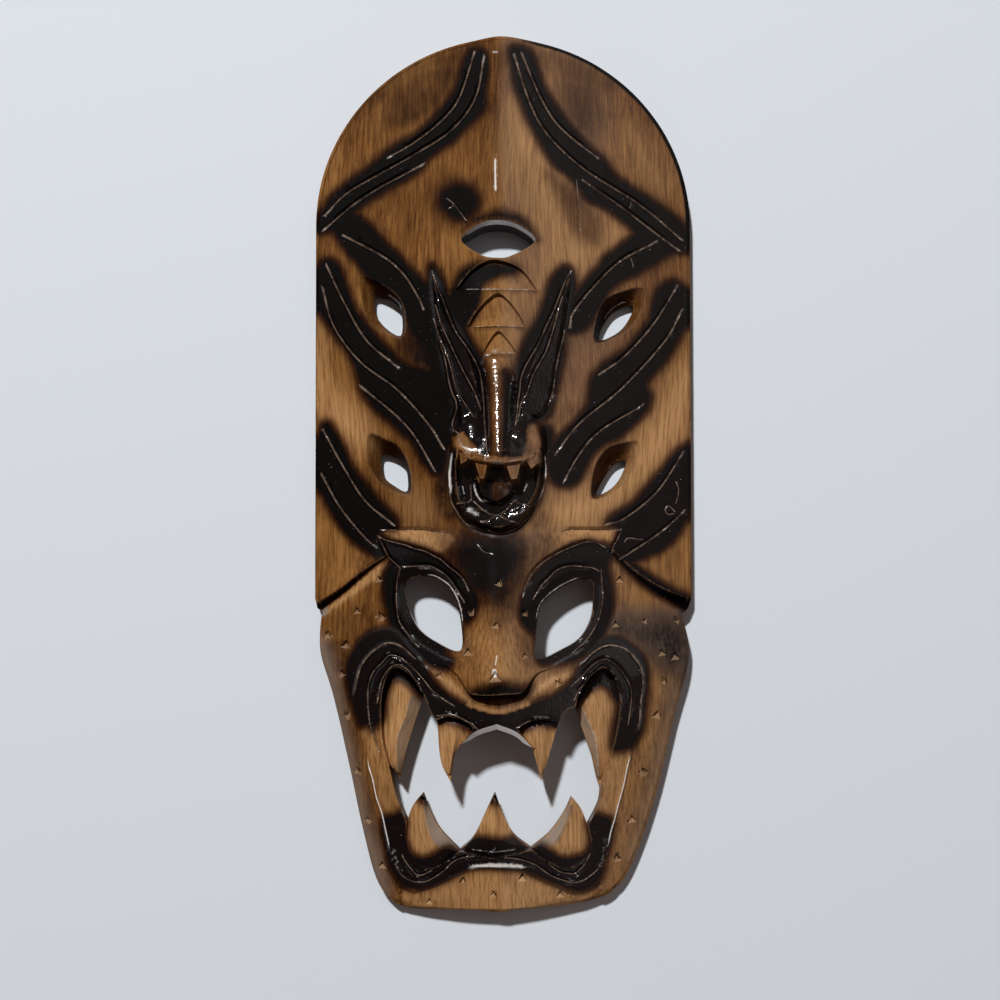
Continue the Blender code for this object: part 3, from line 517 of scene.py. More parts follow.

# Where the wood is burnt black; in the areas whose names start with haze it is only browned. Some areas are
# painted shade instead, and a few only darken the wood, as noted where they stand
burnAreas = {
    "upperLeft": [
        (-35, 483), (-20, 478), (-18, 453), (-21, 431), (-22, 413), (-32, 403), (-46, 388), (-61, 373),
        (-75, 364), (-87, 355), (-95, 344), (-110, 332), (-126, 324), (-144, 313), (-163, 300), (-177, 289),
        (-188, 278), (-209, 270), (-217, 278), (-209, 296), (-197, 313), (-177, 330), (-154, 345),
        (-137, 360), (-119, 374), (-102, 384), (-87, 396), (-73, 410), (-64, 424), (-54, 441), (-48, 462),
        (-42, 476),
    ],
    "upperRight": [
        (9, 485), (29, 483), (38, 469), (44, 450), (53, 430), (66, 410), (78, 394), (90, 380), (103, 366),
        (118, 352), (128, 338), (147, 323), (164, 312), (182, 300), (198, 289), (212, 275), (213, 254),
        (200, 247), (175, 251), (158, 263), (137, 284), (117, 298), (98, 306), (88, 320), (77, 334),
        (61, 346), (50, 362), (40, 380), (31, 397), (24, 416), (16, 437), (12, 459),
    ],
    "hazeRightTop": [(49, 472), (84, 454), (119, 443), (113, 401), (101, 377), (78, 389), (60, 418)],
    "hazeRidgeRight": [(2, 400), (28, 362), (46, 330), (50, 290), (8, 290), (0, 340)],
    "hazeRightPlane": [
        (48, 343), (77, 332), (103, 306), (118, 277), (112, 248), (83, 259), (66, 288), (52, 317),
    ],
    "hazeLeftTop": [
        (-120, 455), (-73, 469), (-50, 471), (-56, 436), (-73, 412), (-102, 391), (-137, 392), (-143, 414),
    ],
    "bandLeft": [
        (-200, 282), (-174, 291), (-158, 281), (-146, 268), (-134, 254), (-121, 241), (-107, 226),
        (-93, 212), (-79, 200), (-72, 188), (-65, 153), (-60, 127), (-63, 96), (-72, 82), (-79, 98),
        (-83, 117), (-90, 137), (-104, 152), (-111, 168), (-116, 186), (-125, 198), (-137, 205),
        (-149, 210), (-162, 225), (-174, 240), (-186, 256), (-195, 270),
    ],
    "flameLeft": [
        (-209, 235), (-200, 238), (-190, 231), (-182, 212), (-175, 194), (-167, 176), (-155, 159),
        (-141, 143), (-127, 129), (-115, 117), (-101, 110), (-81, 105), (-65, 90), (-58, 67), (-57, 38),
        (-64, 13), (-70, -7), (-78, -12), (-90, 2), (-101, 23), (-115, 35), (-131, 51), (-147, 64),
        (-159, 80), (-167, 103), (-175, 123), (-189, 144), (-203, 163), (-215, 180), (-220, 195),
        (-219, 212),
    ],
    "smokePlane": [(-109, 160), (-84, 154), (-72, 131), (-72, 96), (-89, 102), (-106, 114), (-116, 131)],
    "hornLeft": [
        (-84, 228), (-76, 224), (-65, 202), (-55, 179), (-45, 158), (-33, 137), (-23, 116), (-18, 96),
        (-17, 70), (-17, 41), (-16, 10), (-28, 7), (-55, 59), (-58, 27), (-64, 16), (-72, 27), (-72, 73),
        (-83, 108), (-81, 154), (-84, 189),
    ],
    "hornRight": [
        (69, 228), (56, 214), (48, 191), (40, 167), (27, 144), (18, 121), (14, 98), (10, 63), (9, 36),
        (21, 43), (48, 52), (57, 71), (65, 105), (70, 134), (72, 154), (77, 177), (83, 201), (80, 222),
    ],
    "sideLeft": [
        (-206, 47), (-198, 47), (-190, 35), (-181, 19), (-174, 3), (-165, -12), (-153, -27), (-142, -40),
        (-130, -54), (-121, -65), (-122, -74), (-135, -75), (-142, -82), (-132, -100), (-134, -109),
        (-150, -102), (-164, -92), (-179, -79), (-192, -60), (-203, -41), (-212, -26), (-217, -6),
        (-216, 17), (-210, 33),
    ],
    "hazeNotchLeft": [(-171, -104), (-148, -100), (-132, -107), (-148, -123), (-166, -123)],
    "eyeLeft": [
        (-142, -80), (-126, -88), (-108, -92), (-89, -98), (-71, -106), (-55, -117), (-42, -131),
        (-29, -150), (-30, -168), (-39, -181), (-47, -177), (-48, -199), (-66, -210), (-57, -223),
        (-63, -230), (-79, -227), (-92, -218), (-104, -208), (-115, -197), (-124, -186), (-129, -168),
        (-133, -150), (-133, -126), (-127, -109),
    ],
    "eyeRight": [
        (124, -100), (116, -92), (98, -88), (84, -90), (66, -99), (51, -109), (39, -121), (29, -134),
        (21, -152), (18, -168), (22, -182), (32, -190), (37, -199), (37, -216), (41, -225), (57, -225),
        (74, -223), (91, -216), (105, -202), (115, -188), (121, -171), (122, -154), (120, -132),
        (118, -115),
    ],
    "foreheadPatch": [
        (-54, -93), (-37, -82), (-15, -79), (8, -79), (21, -93), (23, -110), (19, -132), (2, -146),
        (-9, -155), (-26, -153), (-43, -138), (-54, -121),
    ],
    "flameRight": [
        (206, 209), (195, 213), (181, 204), (175, 193), (171, 179), (167, 165), (157, 150), (143, 134),
        (127, 122), (113, 113), (102, 99), (99, 79), (95, 64), (83, 50), (72, 39), (60, 27), (52, 13),
        (52, -7), (56, -19), (65, -25), (78, -25), (87, -18), (93, -5), (101, 10), (115, 23), (131, 30),
        (145, 42), (156, 53), (166, 65), (168, 79), (163, 91), (171, 104), (185, 118), (199, 139),
        (208, 156), (216, 166), (216, 196),
    ],
    "bandRight": [
        (175, 277), (158, 271), (144, 260), (129, 248), (116, 239), (109, 227), (98, 215), (86, 201),
        (81, 189), (74, 166), (72, 152), (84, 152), (97, 159), (107, 175), (114, 189), (123, 201),
        (137, 213), (151, 219), (165, 228), (179, 237), (195, 246), (211, 249), (212, 261), (193, 267),
    ],
    "sideRight": [
        (207, 21), (197, 14), (184, -2), (173, -16), (161, -29), (149, -43), (135, -53), (124, -60),
        (118, -68), (130, -72), (129, -84), (123, -99), (132, -112), (148, -111), (167, -104), (183, -95),
        (196, -84), (206, -68), (213, -52), (214, 19),
    ],
    "mouthTop": [
        (-159, -295), (-166, -279), (-171, -263), (-175, -244), (-174, -226), (-167, -210), (-157, -197),
        (-142, -189), (-126, -187), (-115, -195), (-104, -208), (-92, -219), (-88, -226), (-79, -240),
        (-67, -254), (-53, -264), (-39, -271), (-23, -276), (-7, -273), (8, -275), (22, -271), (36, -267),
        (52, -262), (65, -254), (76, -245), (82, -234), (89, -223), (97, -212), (106, -202), (117, -196),
        (131, -197), (144, -205), (155, -216), (161, -230), (162, -246), (161, -262), (158, -279),
        (155, -297), (148, -312), (141, -319), (123, -321), (123, -305), (126, -286), (128, -272),
        (123, -261), (117, -253), (108, -250), (97, -255), (88, -263), (83, -269), (77, -274), (69, -281),
        (61, -292), (52, -294), (41, -291), (28, -295), (16, -299), (2, -295), (-9, -293), (-21, -295),
        (-30, -301), (-41, -296), (-53, -290), (-64, -288), (-74, -289), (-81, -278), (-87, -267),
        (-98, -257), (-106, -248), (-115, -243), (-124, -244), (-129, -253), (-132, -268), (-133, -285),
        (-139, -291), (-146, -298), (-151, -292),
    ],
    "mouthFoot": [
        (-133, -398), (-119, -393), (-112, -389), (-109, -400), (-108, -418), (-103, -434), (-92, -440),
        (-79, -438), (-70, -432), (-61, -429), (-50, -432), (-39, -422), (-31, -418), (-15, -418),
        (1, -420), (12, -418), (23, -426), (31, -430), (41, -426), (50, -431), (63, -439), (76, -440),
        (89, -437), (95, -429), (96, -415), (94, -400), (103, -392), (112, -395), (120, -398), (119, -416),
        (116, -432), (112, -448), (108, -462), (99, -471), (85, -476), (72, -473), (54, -466), (36, -458),
        (19, -452), (-7, -450), (-31, -450), (-48, -455), (-62, -462), (-78, -469), (-94, -473),
        (-109, -472), (-119, -463), (-126, -450), (-130, -432), (-133, -416),
    ],
    "spot": [
        (-52, 322), (-38, 317), (-31, 303), (-38, 289), (-52, 284), (-64, 289), (-71, 302), (-66, 317),
    ],
    "scalePatch": [
        (-58, 204), (-49, 221), (-33, 230), (-15, 232), (8, 230), (19, 221), (-3, 217), (-22, 206),
        (-26, 188), (-33, 168), (-47, 153), (-58, 168), (-63, 188),
    ],
    "hazeScale": [(-47, 159), (-29, 158), (-22, 130), (-19, 94), (-28, 105), (-40, 130)],
    "hazeSpeckle": [(60, 71), (99, 69), (88, 53), (72, 41), (56, 20), (49, 38)],
    "smokeCheek": [
        (122, -181), (154, -173), (182, -175), (207, -183), (213, -210), (209, -235), (187, -235),
        (170, -221), (153, -208), (131, -195), (110, -199),
    ],
    "hazeJawLeft": [
        (-195, -210), (-174, -221), (-171, -266), (-158, -299), (-151, -338), (-137, -388), (-128, -443),
        (-115, -471), (-132, -477), (-147, -447), (-158, -400), (-172, -339), (-186, -283), (-200, -233),
    ],
    "patchJawLeft": [(-195, -206), (-177, -204), (-169, -217), (-176, -235), (-188, -231)],
    "noseTip": [
        (-36, -257), (-25, -251), (-3, -246), (18, -250), (30, -249), (27, -262), (-3, -265), (-28, -265),
    ],
    # footUpper, footMiddle and footLower darken a thin line under each scale's base
    "footUpper": [(-57, 199.5), (42, 199), (42, 196), (-57, 196.5)],
    "footMiddle": [(-43, 155.5), (30, 156.5), (30, 153.5), (-43, 152.5)],
    "footLower": [(-26, 124.5), (20, 125.5), (20, 122.5), (-26, 121.5)],
    # hazeNoseLeft and hazeNoseRight: painted shade on the nose's sides, heavier on the right
    "hazeNoseLeft": [(-46, -165), (-18, -165), (-16, -200), (-18, -240), (-42, -240), (-46, -200)],
    "hazeNoseRight": [(14, -155), (30, -159), (34, -199), (32, -226), (19, -221), (12, -188)],
    # lensTop: painted shade over the lens's upper edge
    "lensTop": [
        (-47, 268), (-33, 284), (-7, 292), (16, 288), (31, 275), (40, 258), (28, 269), (14, 278), (-7, 280),
        (-29, 279), (-40, 275),
    ],
    # dragonSideLeft and dragonSideRight darken the wood beside the dragon's head
    "dragonSideLeft": [
        (-74, 27), (-61, 38), (-59, 4), (-60, -41), (-53, -58), (-62, -64), (-74, -47), (-76, -7),
    ],
    "dragonSideRight": [(42, 44), (56, 36), (53, 4), (51, -19), (49, 6), (45, 20)],
    "bulbLeftDark": [
        (-51, 68), (-37, 62), (-26, 48), (-18, 28), (-17, 7), (-30, 9), (-42, 15), (-51, 27), (-57, 44),
    ],
    "bulbRightDark": [(7, 43), (19, 56), (37, 56), (28, 41), (26, 24), (30, 11), (17, 4), (5, 3)],
    "snoutSides": [(-17, 94), (-10, 89), (-12, 46), (-15, 7), (-19, 10), (-19, 59)],
    "snoutSideRight": [(2, 103), (12, 91), (12, 61), (8, 24), (4, 6), (-1, 12), (1, 58)],
    "hazeAboveEyes": [(-112, 32), (-94, 27), (-90, 4), (-101, -7), (-108, 7), (-122, 21)],
    "dragonRing": [
        (-59, 14), (-60, -21), (-53, -54), (-32, -74), (-2, -81), (24, -68), (41, -38), (48, 1), (45, 18),
        (38, 2), (22, -4), (-7, -5), (-36, 0), (-50, 10),
    ],
    # notchLeft and notchRight: painted shade along the upper side of each notch
    "notchLeft": [
        (-130, -104), (-157, -121), (-182, -141), (-208, -158), (-208, -164), (-182, -147), (-157, -126),
    ],
    "ridgeLine": [(-10, 470), (-7, 470), (-7, 420), (-7.5, 360), (-9.5, 360), (-10, 420)],
    "notchRight": [
        (121, -99), (150, -115), (178, -134), (210, -151), (210, -166), (176, -149), (148, -128),
    ],
    "tipMiddle": [(-9, -366), (-15, -374), (-9, -379), (-3, -374)],
    "tipLeft": [(-89, -367), (-94, -374), (-87, -378), (-84, -374)],
    "smokeForehead": [
        (-66, -84), (-30, -88), (20, -88), (60, -86), (44, -112), (24, -138), (10, -168), (-8, -178),
        (-24, -170), (-40, -146), (-54, -116),
    ],
    "hazeCheekLeft": [(-205, -175), (-150, -150), (-137, -185), (-165, -205), (-180, -240), (-200, -220)],
    "hazeCheekLow": [
        (-190, -215), (-172, -225), (-160, -300), (-148, -360), (-132, -440), (-150, -420), (-175, -320),
    ],
    "hazeCrown": [
        (-196, 400), (-140, 470), (-60, 486), (60, 486), (140, 460), (120, 430), (40, 450), (-60, 455),
        (-150, 410),
    ],
    "hazeJawRight": [
        (182, -235), (204, -225), (188, -290), (166, -370), (140, -450), (128, -440), (150, -360),
        (168, -290),
    ],
    # jawShadow: the painted shadow of the dragon's head on the wood below it
    "jawShadow": [
        (-60, -64), (-37, -76), (-3, -83), (25, -73), (42, -55), (47, -70), (30, -93), (-3, -101),
        (-43, -96),
    ],
}
# Where the wood is pale; the areas whose names start with grey are facets and slopes painted grey, as
# painted sheen and shade for how they catch the lamp
paleAreas = {
    "plateRightUpper": [(150, 398), (185, 362), (196, 328), (176, 318), (150, 345), (135, 375)],
    "plateUnderEye": [(-112, -30), (-86, -36), (-72, -60), (-100, -72), (-120, -52)],
    "stripPaleLeft": [
        (-159, -297), (-151, -292), (-133, -286), (-128, -316), (-122, -343), (-118, -365), (-112, -389),
        (-119, -394), (-133, -399), (-139, -377), (-145, -353), (-152, -321),
    ],
    "stripPaleRight": [
        (123, -321), (141, -319), (139, -338), (133, -366), (126, -390), (120, -401), (112, -395),
        (101, -395), (107, -376), (111, -359), (116, -338),
    ],
    "chin": [
        (-109, -475), (-92, -476), (-70, -468), (-45, -456), (-26, -450), (2, -450), (30, -457), (52, -466),
        (74, -477), (99, -475), (103, -480), (86, -490), (41, -496), (-26, -498), (-87, -497), (-109, -494),
    ],
    "notchFacet": [
        (-130, -106), (-138, -126), (-154, -138), (-172, -151), (-190, -163), (-198, -169), (-197, -160),
        (-179, -146), (-162, -132), (-148, -120),
    ],
    "browPaleLeft": [
        (-135, -76), (-105, -73), (-71, -77), (-54, -87), (-71, -101), (-94, -94), (-117, -88), (-130, -84),
    ],
    "browPaleRight": [
        (55, -80), (81, -74), (121, -73), (130, -78), (121, -89), (98, -87), (78, -88), (60, -98),
    ],
    "leafLeft": [
        (-91, -226), (-72, -231), (-63, -236), (-56, -243), (-49, -251), (-43, -257), (-36, -263),
        (-21, -269), (-34, -272), (-44, -268), (-56, -263), (-66, -256), (-76, -248), (-83, -238),
    ],
    "leafRight": [
        (8, -269), (19, -266), (27, -262), (35, -253), (41, -246), (51, -241), (62, -237), (71, -235),
        (82, -233), (78, -242), (71, -248), (57, -255), (47, -258), (33, -264), (19, -269),
    ],
    "cheekPaleLeft": [(-54, 29), (-46, 34), (-37, 24), (-28, 10), (-42, 13), (-51, 18)],
    "greyToothLeft": [
        (-89, -371), (-82, -386), (-70, -408), (-48, -432), (-70, -428), (-84, -404), (-88, -380),
    ],
    "greyToothRight": [(76, -375), (67, -391), (51, -413), (31, -430), (56, -424), (69, -402), (75, -384)],
    "greyCornerLeft": [(-214, -160), (-204, -158), (-197, -167), (-205, -173), (-214, -166)],
    "greyCornerRight": [(214, -152), (208, -155), (196, -165), (205, -171), (214, -160)],
    "greyFangLeft": [
        (-103, -262), (-109, -285), (-118, -310), (-116, -345), (-110, -328), (-101, -297), (-88, -259),
    ],
    "greyFangRight": [(85, -268), (93, -285), (103, -310), (107, -350), (99, -327), (89, -299), (80, -272)],
    "leafUnder": [
        (-40, -268), (-24, -272), (-9, -274), (8, -273), (30, -266), (30, -270), (8, -278), (-9, -280),
        (-24, -277), (-40, -272),
    ],
    "greyCheek": [
        (118, -176), (156, -168), (196, -172), (214, -186), (214, -236), (186, -236), (150, -206),
        (122, -196),
    ],
    "greyJawLeft": [
        (-212, -205), (-192, -212), (-174, -300), (-152, -390), (-128, -472), (-142, -475), (-168, -390),
        (-190, -300),
    ],
    "greyJawRight": [
        (212, -205), (186, -215), (174, -290), (156, -370), (138, -440), (150, -446), (174, -370),
        (198, -290),
    ],
    "cheekPaleRight": [(28, 43), (38, 39), (42, 19), (30, 7), (21, 6), (26, 24)],
    "plateRightLow": [
        (214, 120), (170, 60), (110, -20), (60, -45), (60, -70), (110, -62), (165, -20), (214, 40),
    ],
    "plateLeftEdge": [(-215, 190), (-203, 100), (-160, 50), (-150, 20), (-180, 20), (-205, 60), (-215, 80)],
    # hazyNose: painted light on the nose's bridge
    "hazyNose": [(-30, -165), (15, -165), (25, -250), (-35, -250)],
    "jawRight": [(150, -250), (178, -240), (178, -330), (150, -430), (130, -430), (148, -340)],
    "plateRightMiddle": [
        (20, 420), (60, 340), (110, 285), (140, 268), (60, 180), (46, 200), (44, 260), (20, 300), (0, 330),
        (0, 400),
    ],
}


def place(points):
    return np.array(points, float) * (stepAcross, stepUp)


# A curve through the points, as a polyline with about this step
def smooth(points, step, closed=False):
    if closed:
        run = np.vstack([points[-1:], points, points[:2]])
    else:
        run = np.vstack([2 * points[:1] - points[1:2], points, 2 * points[-1:] - points[-2:-1]])
    pieces = []
    for a, b, c, d in zip(run, run[1:], run[2:], run[3:]):
        count = max(1, round(np.linalg.norm(c - b) / step))
        t = np.arange(count)[:, None] / count
        bend = (2 * a - 5 * b + 4 * c - d) * t**2
        twist = (3 * b - a - 3 * c + d) * t**3
        pieces.append((2 * b + (c - a) * t + bend + twist) / 2)
    if not closed:
        pieces.append(points[-1:])
    return np.vstack(pieces)


# The same, but with a corner at its farthest point from its ends, as a tooth has
def sharpRun(points, step):
    spots = place(points)
    if len(spots) < 5:
        return smooth(spots, step)
    chord = (spots[-1] - spots[0]) / np.linalg.norm(spots[-1] - spots[0])
    away = spots - spots[0]
    tip = np.abs(away[:, 0] * chord[1] - away[:, 1] * chord[0]).argmax()
    return np.vstack([smooth(spots[: tip + 1], step)[:-1], smooth(spots[tip:], step)])


def curve(points, step=mesh["line"]):
    return smooth(place(points), step)


def ring(points, step=mesh["line"]):
    return smooth(place(points), step, True)


def straightRing(points, step=0.0008):
    corners = place(points)
    run = []
    for a, b in zip(corners, np.roll(corners, -1, axis=0)):
        count = max(1, round(np.linalg.norm(b - a) / step))
        run.append(a + (b - a) * np.arange(count)[:, None] / count)
    return np.vstack(run)


def closedRun(line):
    return np.vstack([line, line[:1]])


# Each spot's distance to a polyline, and how far along it is; a spot beyond the reach only gets far
far = 9.0


def measure(spots, line, reach=0.008):
    gap = np.full(len(spots), far)
    along = np.zeros(len(spots))
    close = (spots > line.min(0) - reach) & (spots < line.max(0) + reach)
    rows = np.flatnonzero(close.all(1))
    start = line[:-1]
    run = line[1:] - start
    length = np.maximum(np.linalg.norm(run, axis=1), 1e-9)
    before = np.concatenate([[0], np.cumsum(length)])
    for some in np.array_split(rows, max(1, len(rows) * len(run) // batch)):
        away = spots[some, None] - start
        t = np.clip((away * run).sum(-1) / length**2, 0, 1)
        gaps = np.linalg.norm(away - t[..., None] * run, axis=-1)
        nearest = gaps.argmin(1)
        order = np.arange(len(some))
        gap[some] = gaps[order, nearest]
        along[some] = (before[nearest] + t[order, nearest] * length[nearest]) / before[-1]
    return gap, along


# Each spot's distance to a line, with a share that falls off towards the line's ends
def tapered(spots, line, taper):
    gap, along = measure(spots, line)
    return gap, np.clip(np.minimum(along, 1 - along) / taper, 0, 1)


def within(spots, loop):
    inside = np.zeros(len(spots), bool)
    close = (spots > loop.min(0)) & (spots < loop.max(0))
    rows = np.flatnonzero(close.all(1))
    a = loop
    b = np.roll(loop, -1, axis=0)
    rise = np.where(b[:, 1] == a[:, 1], 1, b[:, 1] - a[:, 1])
    for some in np.array_split(rows, max(1, len(rows) * len(a) // batch)):
        x, y = spots[some, 0, None], spots[some, 1, None]
        spans = (a[:, 1] > y) != (b[:, 1] > y)
        crossing = a[:, 0] + (y - a[:, 1]) * (b[:, 0] - a[:, 0]) / rise
        inside[some] = (spans & (x < crossing)).sum(1) % 2 == 1
    return inside


def depthInside(spots, loop):
    return np.where(within(spots, loop), measure(spots, closedRun(loop))[0], 0)


def ease(t):
    t = np.clip(t, 0, 1)
    return t * t * (3 - 2 * t)


def outlineLoop(step):
    radius = (woodHigh.x - woodLow.x) / 2
    middle = woodHigh.y - form["crownPeak"] - radius
    turns = np.linspace(0, math.pi, 2 * round(math.pi * radius / step / 2) + 1)
    crown = np.stack([radius * np.cos(turns), middle + radius * np.sin(turns)], 1)
    crown[:, 1] += form["crownPeak"] * np.exp(-((crown[:, 0] / (radius / 9)) ** 2))
    face = place(faceOutline)
    sides = np.linspace(middle, face[0, 1], round((middle - face[0, 1]) / step))[1:-1]
    left = np.stack([np.linspace(-radius, face[0, 0], len(sides)), sides], 1)
    right = np.stack([np.linspace(radius, face[-1, 0], len(sides)), sides], 1)
    jaw = smooth(face[2:-2], step)
    return np.vstack([crown, left, face[:2], jaw, face[-2:], right[::-1]])


def mouthLoop(step):
    lower = [tooth[0] for tooth in lowerTeeth]
    left, right = (fang[0] for fang in outerFangs)
    leftInner, rightInner = (fang[0] for fang in innerFangs)
    upper = [right, rightLip, rightInner, arch, leftInner, leftLip, left]
    return np.vstack([sharpRun(piece, step)[:-1] for piece in [leftGap] + lower + [rightGap] + upper])


def openings(step):
    holes = [ring(lens, step), mouthLoop(step)]
    holes += [ring(hole, step) for _, hole in smallEyes]
    return holes + [ring(eye, step) for eye in bigEyes]


def plateHeight(spots):
    aside = np.abs(spots[:, 0] - ridgeAcross * stepAcross) / ((woodHigh.x - woodLow.x) / 2)
    return form["plateRidge"] - (form["plateRidge"] - form["plateEdge"]) * np.clip(aside, 0, 1)


def faceHeight(spots):
    rows = [-500, -470, -420, -345, -290, -240, -180, -120, -75]
    middle = ["chinTop", "chinMiddle", "lowerLip", "mouthMiddle", "lipArch"]
    middle = [form[name] for name in middle + ["lipTop", "cheekTop", "noseBridge", "forehead"]]
    side = [form["chinEdge"]] * 3 + [form["mouthEdge"]] * 2 + [form["cheekEdge"]] * 3 + [form["plateEdge"]]
    outer = place(faceOutline)
    leftSide = outer[outer[:, 0] < 0][2:]
    rightSide = outer[outer[:, 0] > 0][:-2]
    reach = np.where(
        spots[:, 0] < 0,
        -np.interp(spots[:, 1], leftSide[::-1, 1], leftSide[::-1, 0]),
        np.interp(spots[:, 1], rightSide[:, 1], rightSide[:, 0]),
    )
    aside = np.clip(np.abs(spots[:, 0]) / reach, 0, 1)
    y = spots[:, 1] / stepUp
    top = np.interp(y, rows, middle)
    edge = np.interp(y, rows, side)
    return edge + (top - edge) * (1 - aside ** form["faceRound"])


def browHeightLine(x):
    turns = place([(-210, -166), (-145, -90), (-60, -76), (60, -76), (125, -88), (210, -162)])
    return np.interp(x, turns[:, 0], turns[:, 1])


# A fang with sharp sides at one height and a ridge at another, set into the wood at its root
def roof(spots, z, tooth, low, high):
    sides = sharpRun(tooth[0], mesh["line"])
    root = curve(tooth[1])
    toSides = measure(spots, sides, 0.03)[0]
    toRoot = measure(spots, root, 0.03)[0]
    toRidge = measure(spots, curve(tooth[2]), 0.03)[0]
    toRim = np.minimum(toSides, toRoot)
    shape = low + (high - low) * toRim / (toRim + toRidge + 1e-9)
    inside = within(spots, np.vstack([sides[:-1], root[:-1]])) | (toSides < 1e-5)
    held = inside & (toRoot < far)
    blend = np.clip(toRoot / teethHeights["rootStep"], 0, 1)
    return np.where(held, z + (shape - z) * blend, z), held


def carveDragon(spots, z):
    d = dragonForm
    x = spots[:, 0] / stepAcross - ridgeAcross
    y = spots[:, 1] / stepUp
    rows = [4, 10, 72, 100, 124]
    wide = np.interp(y, rows, [15, 17, 18, 17, 14])
    crown = np.interp(y, [4, 10, 72, 124], [d["lip"], d["snoutTip"], d["snoutMiddle"], d["snoutRoot"]])
    snout = z + (crown - z) * np.sqrt(np.clip(1 - ((x - d["snoutMiddleAt"]) / wide) ** 2, 0, 1))
    z = np.where((y < rows[-1]) & (y > 0), np.maximum(z, snout), z)
    head = ring(dragonHead)
    rows = [-85, -20, -3, 5, 25, 50, 66]
    crown = [d["ring"], d["ring"], d["lip"], d["lip"], d["cheek"], d["brow"], form["forehead"]]
    bulge = np.clip(1 - (x / d["halfWidth"]) ** 2, 0, 1) ** d["roundness"]
    inHead = depthInside(spots, head)
    skin = z + (np.interp(y, rows, crown) - z) * bulge * ease(inHead / d["headWall"])
    z = np.maximum(z, skin)
    for (acrossAt, upAt), (wideBulb, tallBulb) in bulbs:
        gap = ((spots[:, 0] / stepAcross - acrossAt) / wideBulb) ** 2
        gap += ((y - upAt) / tallBulb) ** 2
        z = z + d["bulb"] * np.sqrt(np.clip(1 - gap, 0, 1))
    jaws = ring(dragonJaws)
    cut = depthInside(spots, jaws)
    outside = np.where(cut > 0, 0, measure(spots, closedRun(jaws))[0])
    rolled = np.clip(inHead / (inHead + outside + 1e-9), 0, 1)
    onRing = (inHead > 0) & (cut == 0) & (y < 4)
    z = z + np.where(onRing, d["ringRoll"] * np.sqrt(np.clip(1 - (2 * rolled - 1) ** 2, 0, 1)), 0)
    floor = np.full(len(z), d["mouthFloor"])
    throat = depthInside(spots, ring(dragonThroat))
    floor += d["throat"] * np.sqrt(np.clip(throat / d["throatRun"], 0, 1)) * (throat > 0)
    tongue = depthInside(spots, ring(dragonTongue))
    floor += (d["tongue"] - d["throat"]) * ease(tongue / d["tongueRun"])
    z = z - (z - floor) * np.clip(cut / d["jawWall"], 0, 1)
    for tooth in dragonTeeth:
        rim = straightRing(tooth)
        z = z + (d["tooth"] - z) * np.clip(depthInside(spots, rim) / teethHeights["rootStep"], 0, 1)
    lip = depthInside(spots, between(dragonLipTop, dragonLipFoot))
    return z + d["lipRoll"] * np.sqrt(np.clip(lip / d["lipRun"], 0, 1)) * (lip > 0)


def carveHorns(spots, z):
    for horn in (leftHorn, rightHorn):
        z = z + hornForm["rise"] * ease(depthInside(spots, ring(horn)) / hornForm["wall"])
    return z


def carveScales(spots, z):
    for arc, deep in scales:
        top = curve(arc)
        toArc = measure(spots, top, 0.03)[0]
        toBase = measure(spots, top[[0, -1]], 0.03)[0]
        cut = deep * toBase / (toArc + toBase + 1e-9) * np.clip(toArc / form["scaleStep"], 0, 1)
        z = np.where(within(spots, top), z - cut, z)
    return z


def carveSmallEyes(spots, z):
    for front, hole in smallEyes:
        rim = ring(front)
        toRim = measure(spots, closedRun(rim), 0.03)[0]
        toHole = measure(spots, closedRun(ring(hole)), 0.03)[0]
        slope = toRim / (toRim + toHole + 1e-9)
        z = np.where(within(spots, rim), z * (1 - form["eyeSlope"] * slope), z)
    return z


def carveBrows(spots, z):
    for eye in bigEyes:
        toEye = measure(spots, closedRun(ring(eye)), 0.01)[0]
        z = z - form["eyeDip"] * np.clip(1 - toEye / form["eyeDipRun"], 0, 1)
    for notch in notches:
        gap, along = measure(spots, curve(notch), 0.01)
        wide = notchForm["tip"] + (notchForm["width"] - notchForm["tip"]) * along
        deep = notchForm["tipDepth"] + (notchForm["depth"] - notchForm["tipDepth"]) * along
        z = z - deep * np.clip(1 - 2 * gap / wide, 0, 1)
    return z


def carveNose(spots, z):
    x = spots[:, 0] / stepAcross - ridgeAcross
    rows = [-262, -240, -190, -130, -85]
    y = spots[:, 1] / stepUp
    wide = np.interp(y, rows, [40, 36, 26, 20, 16])
    rise = np.interp(y, rows, [0.8, 1.0, 0.72, 0.35, 0])
    bump = (form["noseTip"] - form["lipTop"]) * rise * np.exp(-((x / wide) ** 2))
    edge = curve(noseEdge)
    under = np.interp(spots[:, 0], edge[:, 0], edge[:, 1])
    return z + bump * np.clip((spots[:, 1] - under) / form["noseStep"], 0, 1)


# The loop between two lines that run the same way
def between(first, second):
    return np.vstack([curve(first), curve(second)[::-1]])


def carveLips(spots, z):
    for leaf in leaves:
        z = z + leafForm["rise"] * ease(depthInside(spots, between(*leaf)) / leafForm["run"])
    half = ridgeForm["width"] / 2
    for points in lipRidges + stripRidges:
        gap, ends = tapered(spots, curve(points), ridgeForm["taper"])
        z = z + ridgeForm["rise"] * ends * np.clip(1 - (gap / half) ** 2, 0, 1)
    edge = curve(lowerEdge)
    below = np.interp(spots[:, 0], edge[:, 0], edge[:, 1]) - spots[:, 1]
    inSpan = (spots[:, 0] > edge[0, 0]) & (spots[:, 0] < edge[-1, 0])
    return z - np.where(inSpan, lowerEdgeForm["drop"] * ease(below / lowerEdgeForm["run"]), 0)


